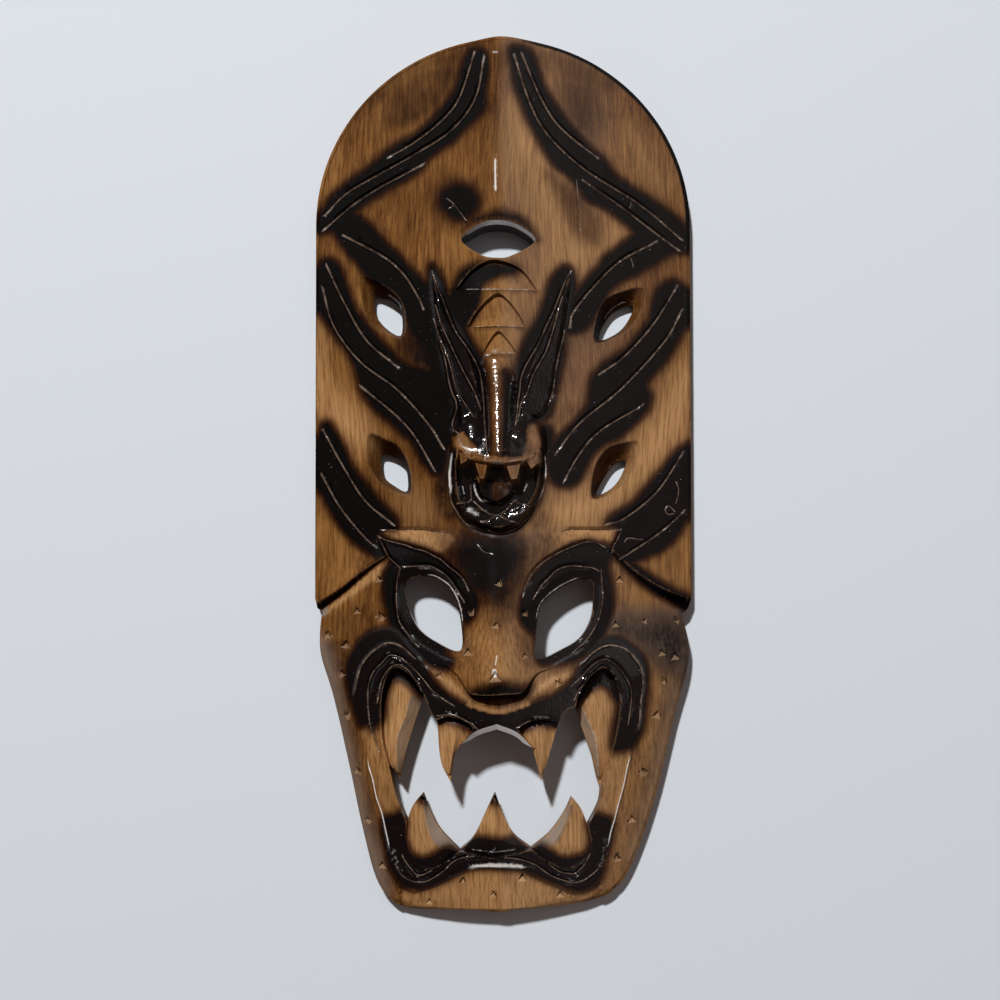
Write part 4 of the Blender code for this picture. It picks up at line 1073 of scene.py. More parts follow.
def carveTeeth(spots, z):
    held = np.zeros(len(z), bool)
    for name, teeth in (("outer", outerFangs), ("inner", innerFangs), ("lower", lowerTeeth)):
        for tooth in teeth:
            z, part = roof(spots, z, tooth, *teethHeights[name])
            held |= part
    return z, held


def knifeWaves(spots):
    size = form["wavinessSize"]
    found = [noise.noise(Vector((x / size, y / size / 1.6, 4.0))) for x, y in spots]
    return form["waviness"] * np.array(found)


# The carved front, all but its cut lines and nicks, and which of it the lines may cut
def frontHeight(spots):
    below = ease((browHeightLine(spots[:, 0]) - spots[:, 1]) / form["browBlend"] + 0.3)
    z = plateHeight(spots) * (1 - below) + faceHeight(spots) * below
    z = carveHorns(spots, z)
    z = carveScales(spots, z)
    z = carveDragon(spots, z)
    z = carveSmallEyes(spots, z)
    z = carveBrows(spots, z)
    z = carveNose(spots, z)
    z = carveLips(spots, z)
    z, inTeeth = carveTeeth(spots, z)
    z = z + knifeWaves(spots)
    toEdge = measure(spots, closedRun(outlineLoop(mesh["edge"])))[0]
    z = z - form["rimChamferDrop"] * np.clip(1 - toEdge / form["rimChamfer"], 0, 1)
    return np.minimum(z, woodHigh.z), ~inTeeth


def backHeight(spots):
    outer = outlineLoop(0.004)
    inward = measure(spots, closedRun(outer), 0.12)[0] - form["hollowRim"]
    below = hollowTop * stepUp - spots[:, 1]
    away = np.minimum(inward / form["hollowSideRun"], below / form["hollowEndRun"])
    return form["hollowDepth"] * ease(away)


def inset(loop, away):
    run = np.roll(loop, -1, axis=0) - np.roll(loop, 1, axis=0)
    run /= np.linalg.norm(run, axis=1)[:, None]
    area = (loop[:, 0] * np.roll(loop[:, 1], -1) - np.roll(loop[:, 0], -1) * loop[:, 1]).sum()
    return loop + math.copysign(away, area) * np.stack([-run[:, 1], run[:, 0]], 1)


def beside(line, away):
    run = np.gradient(line, axis=0)
    run /= np.linalg.norm(run, axis=1)[:, None]
    return line + np.reshape(away, (-1, 1)) * np.stack([-run[:, 1], run[:, 0]], 1)


def bothSides(line, away):
    return [beside(line, away), beside(line, -away)]


# A loop and the foot of the slope inside it
def withWall(loop, wall):
    return [closedRun(loop), closedRun(inset(loop, wall))]


# Three corners and a low point for each nick, in the chip's own unit and then turned and scaled
chipCorners = [(0.0, 1.0), (-0.85, -0.55), (0.85, -0.5)]
chipLow = (0.05, 0.42)
nickTurns = np.random.default_rng(7).uniform(-0.6, 0.6, len(nickPlaces))
nickSizes = np.random.default_rng(8).uniform(0.75, 1.15, len(nickPlaces))


def nickLines():
    lines = []
    for (x, y), turn, grown in zip(nickPlaces, nickTurns, nickSizes):
        onNose = (x, y) == noseNick
        size = (nickForm["noseSize"] if onNose else nickForm["size"] * grown) / 2
        spin = np.array([[math.cos(turn), math.sin(turn)], [-math.sin(turn), math.cos(turn)]])
        corners = np.array(chipCorners + [chipLow]) @ spin * size + place([(x, y)])
        lines.append(corners[[0, 1, 2, 0]])
        lines += [corners[[i, 3]] for i in range(3)]
    return lines


# Lines that the mesh follows, so that the carving's edges stay crisp
def guideLines():
    lines = [curve([(ridgeAcross, 500), (ridgeAcross, 290)]), curve([(ridgeAcross, 150), (ridgeAcross, 8)])]
    for name, group in carvedLines.items():
        cut = carving[name]
        for line in map(curve, group):
            lines += [line] + bothSides(line, cut["width"] / 2) + bothSides(line, cut["bare"] / 2)
    for line in map(curve, notches):
        along = np.linspace(0, 1, len(line))
        half = (notchForm["tip"] + (notchForm["width"] - notchForm["tip"]) * along) / 2
        lines += [line] + bothSides(line, half)
    wide = ridgeForm["width"]
    for line in map(curve, lipRidges + stripRidges):
        lines += bothSides(line, 0.3 * wide) + bothSides(line, wide / 2) + [line]
    d = dragonForm
    for points, wall in (
        (leftHorn, hornForm["wall"]),
        (rightHorn, hornForm["wall"]),
        (dragonHead, d["headWall"]),
        (dragonJaws, d["jawWall"]),
        (dragonThroat, d["throatRun"]),
        (dragonTongue, d["tongueWall"]),
    ):
        lines += withWall(ring(points), wall)
    for points in dragonTeeth:
        lines += withWall(straightRing(points), teethHeights["rootStep"])
    lines += [curve(dragonLipTop), curve(dragonLipFoot)]
    for arc, _ in scales:
        top = curve(arc)
        lines += [closedRun(top), beside(top, -form["scaleStep"])]
    for front, _ in smallEyes:
        loop = ring(front)
        lines += withWall(loop, eyeLine["width"]) + [closedRun(inset(loop, -eyeLine["width"]))]
    for eye in bigEyes:
        lines.append(closedRun(inset(ring(eye), -form["eyeDipRun"])))
    for _, root, spine in outerFangs + innerFangs + lowerTeeth:
        line = curve(root)
        lines += [line, beside(line, -teethHeights["rootStep"]), curve(spine)]
    for _, width, points in paintedHighlights:
        line = curve(points)
        lines += [line] + bothSides(line, width / 2)
    edge = curve(noseEdge)
    lines += [edge, beside(edge, form["noseStep"])]
    lines += [closedRun(between(*leaf)) for leaf in leaves]
    edge = curve(lowerEdge)
    lines += [edge, beside(edge, -lowerEdgeForm["run"])]
    for away in (0.0014, form["rimChamfer"], 0.0030):
        lines.append(closedRun(inset(outlineLoop(mesh["edge"]), away)))
    return lines + nickLines()


# Evenly spread spots inside the outline, kept off the lines
def infill(outer, taken, plateStep, faceStep, split=-50):
    tree = kdtree.KDTree(len(taken))
    for i, (x, y) in enumerate(taken):
        tree.insert((x, y, 0), i)
    tree.balance()
    found = []
    lowest, highest = outer.min(0), outer.max(0)
    middle = split * stepUp
    for step, low, high in ((plateStep, middle, highest[1]), (faceStep, lowest[1], middle)):
        spots = []
        for row, y in enumerate(np.arange(low, high, step * math.sqrt(3) / 2)):
            shift = step / 2 * (row % 2)
            spots += [(x + shift, y) for x in np.arange(lowest[0], highest[0], step)]
        group = np.array(spots)
        gap = np.array([tree.find((x, y, 0))[2] for x, y in group])
        found.append(group[(gap > 0.6 * step) & within(group, outer)])
    return np.vstack(found)


def triangulate(loops, lines, spots):
    points = []
    edges = []
    for loop in loops:
        first = len(points)
        points += list(loop)
        edges += [(first + i, first + (i + 1) % len(loop)) for i in range(len(loop))]
    outer = loops[0]
    for line in lines:
        keep = within(line, outer)
        for hole in loops[1:]:
            keep &= ~within(line, hole)
        first = len(points)
        points += list(line)
        edges += [(first + i, first + i + 1) for i in range(len(line) - 1) if keep[i] or keep[i + 1]]
    points += list(spots)
    result = delaunay_2d_cdt([Vector(p) for p in points], edges, [], 0, 2e-5)
    places = np.array([tuple(v) for v in result[0]])
    faces = np.array([face for face in result[2] if len(face) == 3])
    middle = places[faces].mean(1)
    keep = within(middle, outer)
    for hole in loops[1:]:
        keep &= ~within(middle, hole)
    faces = faces[keep]
    a, b, c = places[faces[:, 0]], places[faces[:, 1]], places[faces[:, 2]]
    turn = (b[:, 0] - a[:, 0]) * (c[:, 1] - a[:, 1]) - (b[:, 1] - a[:, 1]) * (c[:, 0] - a[:, 0])
    faces[turn < 0] = faces[turn < 0][:, ::-1]
    used = np.unique(faces)
    renumber = np.full(len(places), -1)
    renumber[used] = np.arange(len(used))
    return places[used], renumber[faces]


# The edges with a face on one side only, each with that face on its left
def borderEdges(faces):
    ends = np.concatenate([faces[:, [0, 1]], faces[:, [1, 2]], faces[:, [2, 0]]])
    known = {(a, b) for a, b in ends.tolist()}
    return [(a, b) for a, b in ends.tolist() if (b, a) not in known]


thinBurns = ["notchLeft", "ridgeLine", "footUpper", "footMiddle", "footLower"]
# Burns: how soft their edge is, how far the wood browns around them and how strong each is
burnForm = {
    "soft": 0.0019,
    "softer": dict.fromkeys(thinBurns, 0.0008) | {
        "smokeForehead": 0.0110, "smokeCheek": 0.0120, "smokePlane": 0.0090, "spot": 0.0075,
        "foreheadPatch": 0.0110, "noseTip": 0.0030, "patchJawLeft": 0.0060, "jawShadow": 0.0040,
        "notchRight": 0.0010, "dragonRing": 0.0008, "tipMiddle": 0.0010, "tipLeft": 0.0010,
        "mouthTop": 0.0014, "mouthFoot": 0.0014,
    },
    "amount": {
        "smokeForehead": 0.60, "smokeCheek": 0.66, "smokePlane": 0.70, "snoutSides": 0.4,
        "foreheadPatch": 0.84, "scalePatch": 0.85, "patchJawLeft": 0.55, "noseTip": 0.8,
        "footUpper": 0.55, "footMiddle": 0.5, "footLower": 0.5, "jawShadow": 0.45, "lensTop": 0.7,
        "spot": 1.25, "dragonSideLeft": 0.6, "ridgeLine": 0.45,
    },
    "reach": 0.0038,
    "wideSoft": 0.004,  # a burn softer than this also browns the wood further around it
    "shortReach": 0.0009,  # round the thin burns
    "fade": 1.3,
    "hazeSoft": 0.0085,
    "haze": 0.50,
    "hazeAmount": {
        "hazeScale": 0.6, "hazeLeftTop": 0.65, "hazeCrown": 0.50, "hazeCheekLow": 0.45,
        "hazeCheekLeft": 0.4, "hazeJawRight": 0.5, "hazeJawLeft": 0.45, "hazeAboveEyes": 0.4,
        "hazeRightPlane": 0.65, "hazeRidgeRight": 0.30, "hazeNoseLeft": 0.28, "hazeNoseRight": 0.62,
    },
    "paleSoft": 0.0014,
    "palePlate": 0.0120,
    "paleAmount": {
        "plateUnderEye": 0.40, "plateRightUpper": 0.42, "chin": 0.75, "stripPaleLeft": 0.45,
        "stripPaleRight": 0.70, "plateRightMiddle": 0.65, "hazyNose": 0.30, "jawRight": 0.40,
        "cheekPaleLeft": 0.5, "cheekPaleRight": 0.15,
    },
    "grey": 0.85,
    "greyEdge": 0.0006,
    "greySoft": {
        "greyFangLeft": (0.50, 0.0006), "greyFangRight": (0.60, 0.0006), "greyCheek": (0.72, 0.0100),
        "greyJawLeft": (0.68, 0.0070), "greyJawRight": (0.30, 0.0080),
    },
    "glossSoft": 0.002,
    "backRim": 0.5,
    "backPale": 0.35,
}
# The slopes round the small openings: how brown on their outer and inner side, the inner and upper side
# darker as painted shade, over what run, how much their height counts in it, and the thin burnt line round
# them
eyeShade = {"outer": 0.35, "inner": 0.85, "run": 0.010, "tilt": 0.6, "edge": 0.0005}
eyeLine = {"amount": 0.50, "width": 0.0008}
eyeGloss = {"amount": 0.9, "over": 0.0050, "soft": 0.001}
# What the burns leave free, and how clean it stays
cleanForm = {
    "teeth": 1.0, "lip": 0.85, "tongue": 0.40,
    "areas": {"leafUnder": 0.80, "cheekPaleLeft": 0.75, "cheekPaleRight": 0.60},
    "over": 0.0003, "soft": 0.0006, "browned": 0.75,
}
# The crown's rim is burnt in a band on the right and a line on the left; the sides are browned
rimForm = {
    "crownFrom": 220, "crownOver": 40, "rightFrom": 20, "rightOver": 15,
    "bandReach": 1.6, "band": 0.0026, "line": 0.0009, "lineAmount": 0.75,
    "sidesFrom": -160, "sidesReach": 1.4, "sides": 0.0016, "sidesAmount": 0.6,
}
glossyAreas = ["mouthTop", "mouthFoot", "dragonRing", "bulbLeftDark", "bulbRightDark"]
snoutArea = [(-20, 122), (12, 122), (16, 60), (12, 2), (-24, 2), (-26, 60)]


# How far inside an area's edge each spot is, below zero outside it
def inward(spots, points):
    loop = ring(points, 0.002)
    gap = np.minimum(measure(spots, closedRun(loop), 0.018)[0], 0.05)
    return np.where(within(spots, loop), gap, -gap)


def softly(gap, soft):
    return ease(0.5 + gap / (2 * soft))


def surfaceMaps(spots):
    b = burnForm
    burnt, browned, pale, gloss, grey, clean = np.zeros((6, len(spots)))
    for name, points in burnAreas.items():
        gap = inward(spots, points)
        if name.startswith("haze"):
            amount = b["hazeAmount"].get(name, b["haze"])
            browned = np.maximum(browned, amount * softly(gap, b["hazeSoft"]))
            continue
        amount = b["amount"].get(name, 1.0)
        soft = b["softer"].get(name, b["soft"])
        burnt = np.maximum(burnt, np.minimum(amount * softly(gap, soft), 1.0))
        reach = b["shortReach"] if name in thinBurns else b["reach"] * max(1.0, soft / b["wideSoft"])
        faded = np.exp(-((np.maximum(-gap, 0) / reach) ** b["fade"]))
        browned = np.maximum(browned, min(amount, 1.0) * faded)
        if name in glossyAreas:
            gloss = np.maximum(gloss, softly(gap, b["glossSoft"]))
    for front, hole in smallEyes:
        e = eyeShade
        gap = inward(spots, front)
        middle = ring(hole).mean(0)
        towards = np.sign(middle[0]) * (middle[0] - spots[:, 0]) + e["tilt"] * (spots[:, 1] - middle[1])
        # painted shade: darker towards the mask's middle and upwards
        shaded = e["outer"] + (e["inner"] - e["outer"]) * ease(0.5 + towards / e["run"])
        browned = np.maximum(browned, shaded * softly(gap, e["edge"]))
        burnt = np.maximum(burnt, eyeLine["amount"] * np.clip(1 - np.abs(gap) / eyeLine["width"], 0, 1))
    for name, points in paleAreas.items():
        if name.startswith("grey"):
            amount, soft = b["greySoft"].get(name, (b["grey"], b["greyEdge"]))
            grey = np.maximum(grey, amount * softly(inward(spots, points), soft))
            continue
        soft = b["palePlate"] if name.startswith(("plate", "jaw", "hazy")) else b["paleSoft"]
        pale = np.maximum(pale, b["paleAmount"].get(name, 1.0) * softly(inward(spots, points), soft))
    for points in (snoutArea, leftHorn, rightHorn):
        gloss = np.maximum(gloss, softly(inward(spots, points), b["glossSoft"]))
    for eye in bigEyes:
        shown = softly(inward(spots, eye) + eyeGloss["over"], eyeGloss["soft"])
        gloss = np.maximum(gloss, eyeGloss["amount"] * shown)
    lipBand = dragonLipTop + dragonLipFoot[::-1]
    cleaned = [(cleanForm["teeth"], points) for points in dragonTeeth]
    cleaned += [(cleanForm["lip"], lipBand), (cleanForm["tongue"], dragonTongue)]
    cleaned += [(amount, paleAreas[name]) for name, amount in cleanForm["areas"].items()]
    for amount, points in cleaned:
        inside = softly(inward(spots, points) + cleanForm["over"], cleanForm["soft"])
        clean = np.maximum(clean, amount * inside)
    burnt *= 1 - clean
    browned *= 1 - cleanForm["browned"] * clean
    return {"burnt": burnt, "browned": browned, "pale": pale, "gloss": gloss, "grey": grey}


def rimBurn(spots):
    r = rimForm
    edge = measure(spots, closedRun(outlineLoop(mesh["edge"])))[0]
    onCrown = np.clip((spots[:, 1] / stepUp - r["crownFrom"]) / r["crownOver"], 0, 1)
    right = 1 / (1 + np.exp(-(spots[:, 0] / stepAcross - r["rightFrom"]) / r["rightOver"]))
    band = onCrown * right * ease(r["bandReach"] - edge / r["band"])
    line = onCrown * (1 - right) * np.clip(1 - np.abs(edge - form["rimChamfer"]) / r["line"], 0, 1)
    band = np.maximum(band, r["lineAmount"] * line)
    onSides = (1 - onCrown) * (spots[:, 1] / stepUp > r["sidesFrom"])
    sides = onSides * ease(r["sidesReach"] - edge / r["sides"])
    return np.maximum(band, r["sidesAmount"] * sides)


# How light the painted shade on each opening's wall is; the mouth's walls keep the wood's colour
wallShadeAndSheen = {"mouth": 0, "lens": 0.013, "smallEyes": 0.040, "bigEyes": 0.006}
# Walls with a bevel under their front edge: how far the wall's foot and the bevel stand out, how tall
# the bevel is, the part of its length that it takes to grow, and how light the painted sheen on it is;
# the lens has it on its upper edge only, from some way above its lowest corner
bevels = {
    "arch": {"foot": 0.0042, "wide": 0.0030, "tall": 0.0030, "growth": 0.15, "tone": 0.75},
    "lens": {
        "foot": 0.0020, "wide": 0.0020, "tall": 0.0022, "growth": 0.08, "tone": 0.45, "above": 0.0075,
    },
}
hair = 0.0002  # what is nearer or lower than this counts as nothing


# Gives each wall point the painted shade of its opening
# The mouth is the tall opening, the big eyes are the lowest others and the lens is in the middle
def wallTones(rings, places):
    tones = {}
    for loop in rings[1:]:
        x, y = places[loop].mean(0)
        if np.ptp(places[loop][:, 1]) > 0.06:
            name = "mouth"
        elif y < -0.05:
            name = "bigEyes"
        else:
            name = "lens" if abs(x) < 0.02 else "smallEyes"
        tones.update(dict.fromkeys(loop, wallShadeAndSheen[name]))
    return tones


# Where the foot and the bevel of each spot's wall are, with the bevel's height and the lightness of its
# painted sheen
def slanted(spots):
    foot, bevel = spots.copy(), spots.copy()
    drop, light = np.zeros((2, len(spots)))
    lensRing = ring(lens)
    lensTop = lensRing[lensRing[:, 1] > lens[-1][1] * stepUp + bevels["lens"]["above"]]
    for name, line in (("arch", sharpRun(arch, mesh["line"])), ("lens", lensTop)):
        b = bevels[name]
        gap, along = measure(spots, line, 0.002)
        part = (gap < hair) * np.clip(np.minimum(along, 1 - along) / b["growth"], 0, 1)
        foot[:, 1] -= b["foot"] * part
        bevel[:, 1] -= b["wide"] * part
        drop += b["tall"] * part
        light[part > 0] = b["tone"]
    return foot.astype(np.float32).astype(float), bevel, drop, light


# Wear and painted highlights: how much of a ridge is bare, how far its ends and the painted highlights
# fade, how wide a painted highlight spreads, and how much a raised edge has to bend before it is rubbed
wearForm = {"part": 0.6, "taper": 0.15, "shineReach": 1.5, "bend": 0.10, "bendOver": 0.30}


def wearMaps(spots):
    w = wearForm
    worn, paintedHighlight = np.zeros((2, len(spots)))
    for points in lipRidges:
        gap, ends = tapered(spots, curve(points), w["taper"])
        worn = np.maximum(worn, np.clip(1 - gap / (w["part"] * ridgeForm["width"] / 2), 0, 1) * ends)
    for amount, width, points in paintedHighlights:
        gap, ends = tapered(spots, curve(points), w["taper"])
        paintedHighlight = np.maximum(paintedHighlight, amount * np.clip(w["shineReach"] - gap / (width / 2), 0, 1) * ends)
    return {"bare": worn, "paintedHighlight": paintedHighlight}


def buildBlank():
    loops = [outlineLoop(mesh["edge"])] + openings(mesh["line"])
    lines = guideLines()
    taken = np.vstack(loops + lines)
    places, faces = triangulate(loops, lines, infill(loops[0], taken, mesh["plate"], mesh["face"]))
    print("front of the mask:", len(places), "points")
    border = borderEdges(faces)
    following = dict(border)
    rim = list(following)
    rings = []
    while following:
        start, at = following.popitem()
        loop = [start]
        while at != start:
            loop.append(at)
            at = following.pop(at)
        rings.append(loop)
    rings.sort(key=lambda loop: -np.ptp(places[loop][:, 1]))
    sloped, bevelled, drop, light = slanted(places)
    backEdges = [sloped[loop] for loop in rings]
    backSpots = infill(backEdges[0], np.vstack(backEdges), mesh["back"], mesh["back"])
    backPlaces, backFaces = triangulate(backEdges, [], backSpots)
    heights, cuttable = frontHeight(places)
    front = np.column_stack([places, heights])
    back = np.column_stack([backPlaces, backHeight(backPlaces)])
    nearest = {tuple(np.round(p, 7)): i for i, p in enumerate(backPlaces)}
    under = {i: len(front) + nearest[tuple(np.round(sloped[i], 7))] for i in rim}
    onBevel = [i for i in rim if drop[i] > hair]
    lower = {i: len(front) + len(back) + row for row, i in enumerate(onBevel)}
    bevel = np.column_stack([bevelled[onBevel], heights[onBevel] - drop[onBevel]])
    triangles = [tuple(face) for face in faces.tolist()]
    triangles += [tuple(len(front) + i for i in face[::-1]) for face in backFaces.tolist()]
    # each face's painted tone: shade on the openings' walls, sheen on the bevels, none on the front and
    # back
    tones = [0] * len(triangles)
    known = wallTones(rings, places)
    for a, b in border:
        nextA, nextB = lower.get(a, a), lower.get(b, b)
        wall = [(nextB, nextA, under[a]), (nextB, under[a], under[b])]
        tones += [known.get(a, 0)] * 2
        for corners in [(b, a, nextA)] * (nextA != a) + [(b, nextA, nextB)] * (nextB != b):
            wall.append(corners)
            tones.append(light[a])
        triangles += wall
    blank = bpy.data.meshes.new("blank")
    blank.from_pydata(np.vstack([front, back, bevel]).tolist(), [], triangles)
    maps = surfaceMaps(places) | wearMaps(places) | {"cuttable": cuttable}
    maps["burnt"] = np.maximum(maps["burnt"], rimBurn(places))
    maps["pale"] = np.maximum(maps["pale"], 1.0 - cuttable)
    others = np.zeros(len(back) + len(bevel))
    store = {name: np.concatenate([values, others]) for name, values in maps.items()}
    store["browned"][list(under.values())] = burnForm["backRim"]
    store["pale"][len(front):] = burnForm["backPale"]
    for name, values in store.items():
        keep(blank, name, values)
    keep(blank, "wallShadeAndSheen", tones, "FACE")
    return blank


def keep(data, name, values, domain="POINT"):
    stored = data.attributes.new(name, "FLOAT", domain)
    stored.data.foreach_set("value", np.asarray(values, np.float32))


def node(tree, kind, inputs=(), **settings):
    made = tree.nodes.new(kind)
    for name, value in settings.items():
        setattr(made, name, value)
    for name, value in dict(inputs).items():
        if isinstance(value, bpy.types.NodeSocket):
            tree.links.new(value, made.inputs[name])
        else:
            made.inputs[name].default_value = value
    return made


def number(tree, operation, *values):
    return node(tree, "ShaderNodeMath", enumerate(values), operation=operation).outputs[0]


# The usual sums, each as a function that makes a node of this tree
def sums(tree):
    def making(operation):
        return lambda *values: number(tree, operation, *values)
    return [making(name) for name in ("ADD", "SUBTRACT", "MULTIPLY", "DIVIDE", "MINIMUM", "MAXIMUM")]


def named(tree, name):
    kind = "GeometryNodeInputNamedAttribute"
    return node(tree, kind, {"Name": name}, data_type="FLOAT").outputs["Attribute"]


def storing(tree, geometry, name, value, domain="POINT"):
    inputs = {"Geometry": geometry, "Name": name, "Value": value}
    kind = "GeometryNodeStoreNamedAttribute"
    return node(tree, kind, inputs, data_type="FLOAT", domain=domain).outputs["Geometry"]


def sinking(tree, geometry, fall):
    down = node(tree, "ShaderNodeCombineXYZ", {"Z": fall}).outputs[0]
    inputs = {"Geometry": geometry, "Offset": down}
    return node(tree, "GeometryNodeSetPosition", inputs).outputs["Geometry"]


def flatPosition(tree, z=0.0):
    here = node(tree, "GeometryNodeInputPosition").outputs[0]
    parts = node(tree, "ShaderNodeSeparateXYZ", {0: here}).outputs
    return node(tree, "ShaderNodeCombineXYZ", {"X": parts["X"], "Y": parts["Y"], "Z": z}).outputs[0]


def newTree(name, objects, numbers):
    tree = bpy.data.node_groups.new(name, "GeometryNodeTree")
    newSocket = tree.interface.new_socket
    newSocket("Wood", in_out="INPUT", socket_type="NodeSocketGeometry")
    for label in objects:
        newSocket(label, in_out="INPUT", socket_type="NodeSocketObject")
    for label, value in numbers.items():
        newSocket(label, in_out="INPUT", socket_type="NodeSocketFloat").default_value = value
    newSocket("Finish", in_out="INPUT", socket_type="NodeSocketMaterial")
    newSocket("Carved", in_out="OUTPUT", socket_type="NodeSocketGeometry")
    return tree, tree.nodes.new("NodeGroupInput").outputs


def finishTree(tree, geometry, finish):
    real = node(tree, "GeometryNodeRealizeInstances", {0: geometry}).outputs[0]
    painted = node(tree, "GeometryNodeSetMaterial", {"Geometry": real, "Material": finish})
    node(tree, "NodeGroupOutput", {0: painted.outputs[0]})


# How much of a groove's length its pointed ends take, and how fine and how narrow they get
grooveEnds = {"taper": 0.2, "finest": 0.10, "narrowest": 0.30}


# Cuts grooves into the wood along the curves of an object that lies flat under it
def carvingTree():
    numbers = {"Width": 0.003, "Depth": 0.0018, "Bare width": 0.0016, "Shoulder": 1.0, "Tapered end": 0.2}
    tree, given = newTree("carve along lines", ["Lines"], numbers)
    _, less, times, over, least, most = sums(tree)
    info = node(tree, "GeometryNodeObjectInfo", {"Object": given["Lines"]})
    along = tree.nodes.new("GeometryNodeSplineParameter").outputs["Factor"]
    toEnd = least(along, less(1.0, along))
    fine = least(most(over(toEnd, given["Tapered end"]), grooveEnds["finest"]), 1.0)
    marked = storing(tree, info.outputs["Geometry"], "fineness", fine)
    wire = node(tree, "GeometryNodeCurveToMesh", {"Curve": marked}).outputs[0]
    here = flatPosition(tree)
    inputs = {0: wire, "Sample Position": here}
    near = node(tree, "GeometryNodeProximity", inputs, target_element="EDGES")
    point = node(tree, "GeometryNodeSampleNearest", {"Geometry": wire, "Sample Position": here})
    inputs = {"Geometry": wire, "Value": named(tree, "fineness"), "Index": point.outputs[0]}
    fineness = node(tree, "GeometryNodeSampleIndex", inputs, data_type="FLOAT").outputs[0]
    narrow = most(fineness, grooveEnds["narrowest"])
    gap = near.outputs["Distance"]
    half = times(times(given["Width"], 0.5), narrow)
    slope = most(less(1.0, over(gap, half)), 0.0)
    profile = number(tree, "POWER", slope, given["Shoulder"])
    deep = times(times(given["Depth"], fineness), profile)
    allowed = named(tree, "cuttable")
    fall = times(times(deep, allowed), -1.0)
    bareHalf = times(times(given["Bare width"], 0.5), narrow)
    bareness = times(most(less(1.0, over(gap, bareHalf)), 0.0), allowed)
    kept = storing(tree, given["Wood"], "bare", most(bareness, named(tree, "bare")))
    finishTree(tree, sinking(tree, kept, fall), given["Finish"])
    return tree


# Presses a small three-cornered chip into the wood at each point of an object, and stores how far each
# chip's facet faces the lamp, for the painted light and shade on it
def nickingTree():
    tree, given = newTree("nick at points", ["Points", "Chip"], {"Steepest": nickForm["steepest"]})
    _, _, times, over, least, most = sums(tree)
    spots = node(tree, "GeometryNodeObjectInfo", {"Object": given["Points"]}).outputs["Geometry"]
    inputs = {"As Instance": True, "Object": given["Chip"]}
    chip = node(tree, "GeometryNodeObjectInfo", inputs).outputs["Geometry"]
    spin = node(tree, "ShaderNodeCombineXYZ", {"Z": times(named(tree, "turn"), -1.0)}).outputs[0]
    turned = node(tree, "FunctionNodeEulerToRotation", {0: spin}).outputs[0]
    wide = named(tree, "size")
    size = node(tree, "ShaderNodeCombineXYZ", {"X": wide, "Y": wide, "Z": named(tree, "sink")}).outputs[0]
    inputs = {"Points": spots, "Instance": chip, "Rotation": turned, "Scale": size}
    spread = node(tree, "GeometryNodeInstanceOnPoints", inputs).outputs[0]
    real = node(tree, "GeometryNodeRealizeInstances", {0: spread}).outputs[0]
    inputs = {"Target Geometry": real, "Source Position": flatPosition(tree, 0.1)}
    inputs |= {"Ray Direction": (0, 0, -1), "Ray Length": 1}
    ray = node(tree, "GeometryNodeRaycast", inputs).outputs
    height = node(tree, "ShaderNodeSeparateXYZ", {0: ray["Hit Position"]}).outputs["Z"]
    fall = times(height, times(named(tree, "cuttable"), ray["Is Hit"]))
    inChip = number(tree, "LESS_THAN", fall, -0.00002)
    facing = node(tree, "ShaderNodeSeparateXYZ", {0: ray["Hit Normal"]}).outputs
    tilt = over(facing["Y"], facing["Z"])
    tilt = most(least(tilt, given["Steepest"]), times(given["Steepest"], -1.0))
    kept = storing(tree, given["Wood"], "nick", times(tilt, inChip), "FACE")
    finishTree(tree, sinking(tree, kept, fall), given["Finish"])
    return tree


def setInputs(modifier, values):
    for item in modifier.node_group.interface.items_tree:
        if item.in_out == "INPUT" and item.name in values:
            modifier[item.identifier] = values[item.name]


def newObject(name, data):
    made = bpy.data.objects.new(name, data)
    bpy.context.scene.collection.objects.link(made)
    return made


def lineObject(name, group):
    data = bpy.data.curves.new(name, "CURVE")
    data.dimensions = "3D"
    for points in group:
        run = curve(points, 0.0008)
        spline = data.splines.new("POLY")
        spline.points.add(len(run) - 1)
        for point, (x, y) in zip(spline.points, run):
            point.co = (x, y, 0, 1)
    return newObject(name, data)


def chipObjects():
    data = bpy.data.meshes.new("chip")
    corners = [(x, y, 0) for x, y in chipCorners] + [(*chipLow, -1)]
    data.from_pydata(corners, [], [(0, 1, 3), (1, 2, 3), (2, 0, 3)])
    chip = newObject("chip", data)
    data = bpy.data.meshes.new("nickPoints")
    spots = place(nickPlaces)
    data.from_pydata([(x, y, 0) for x, y in spots], [], [])
    sizes = nickForm["size"] * nickSizes / 2
    sinks = nickForm["depth"] * nickSizes
    onNose = nickPlaces.index(noseNick)
    sizes[onNose] = nickForm["noseSize"] / 2
    sinks[onNose] = nickForm["noseDepth"]
    for name, values in (("turn", nickTurns), ("size", sizes), ("sink", sinks)):
        keep(data, name, values)
    return newObject("nickPoints", data), chip


def readAll(items, name, wide, kind=float):
    values = np.empty(len(items) * wide, kind)
    items.foreach_get(name, values)
    return values.reshape(-1, wide)


# Where the surface is raised and worn, from how far each point stands out from its neighbours
def markWear(data):
    spots = readAll(data.vertices, "co", 3)
    normals = readAll(data.vertex_normals, "vector", 3)
    ends = readAll(data.edges, "vertices", 2, int)
    total, weight = np.zeros((2, len(spots)))
    for a, b in ((ends[:, 0], ends[:, 1]), (ends[:, 1], ends[:, 0])):
        away = spots[a] - spots[b]
        length = np.linalg.norm(away, axis=1) + 1e-9
        np.add.at(total, a, (away * normals[a]).sum(1) / length)
        np.add.at(weight, a, 1)
    bend = total / np.maximum(weight, 1)
    keep(data, "wear", ease((bend - wearForm["bend"]) / wearForm["bendOver"]))


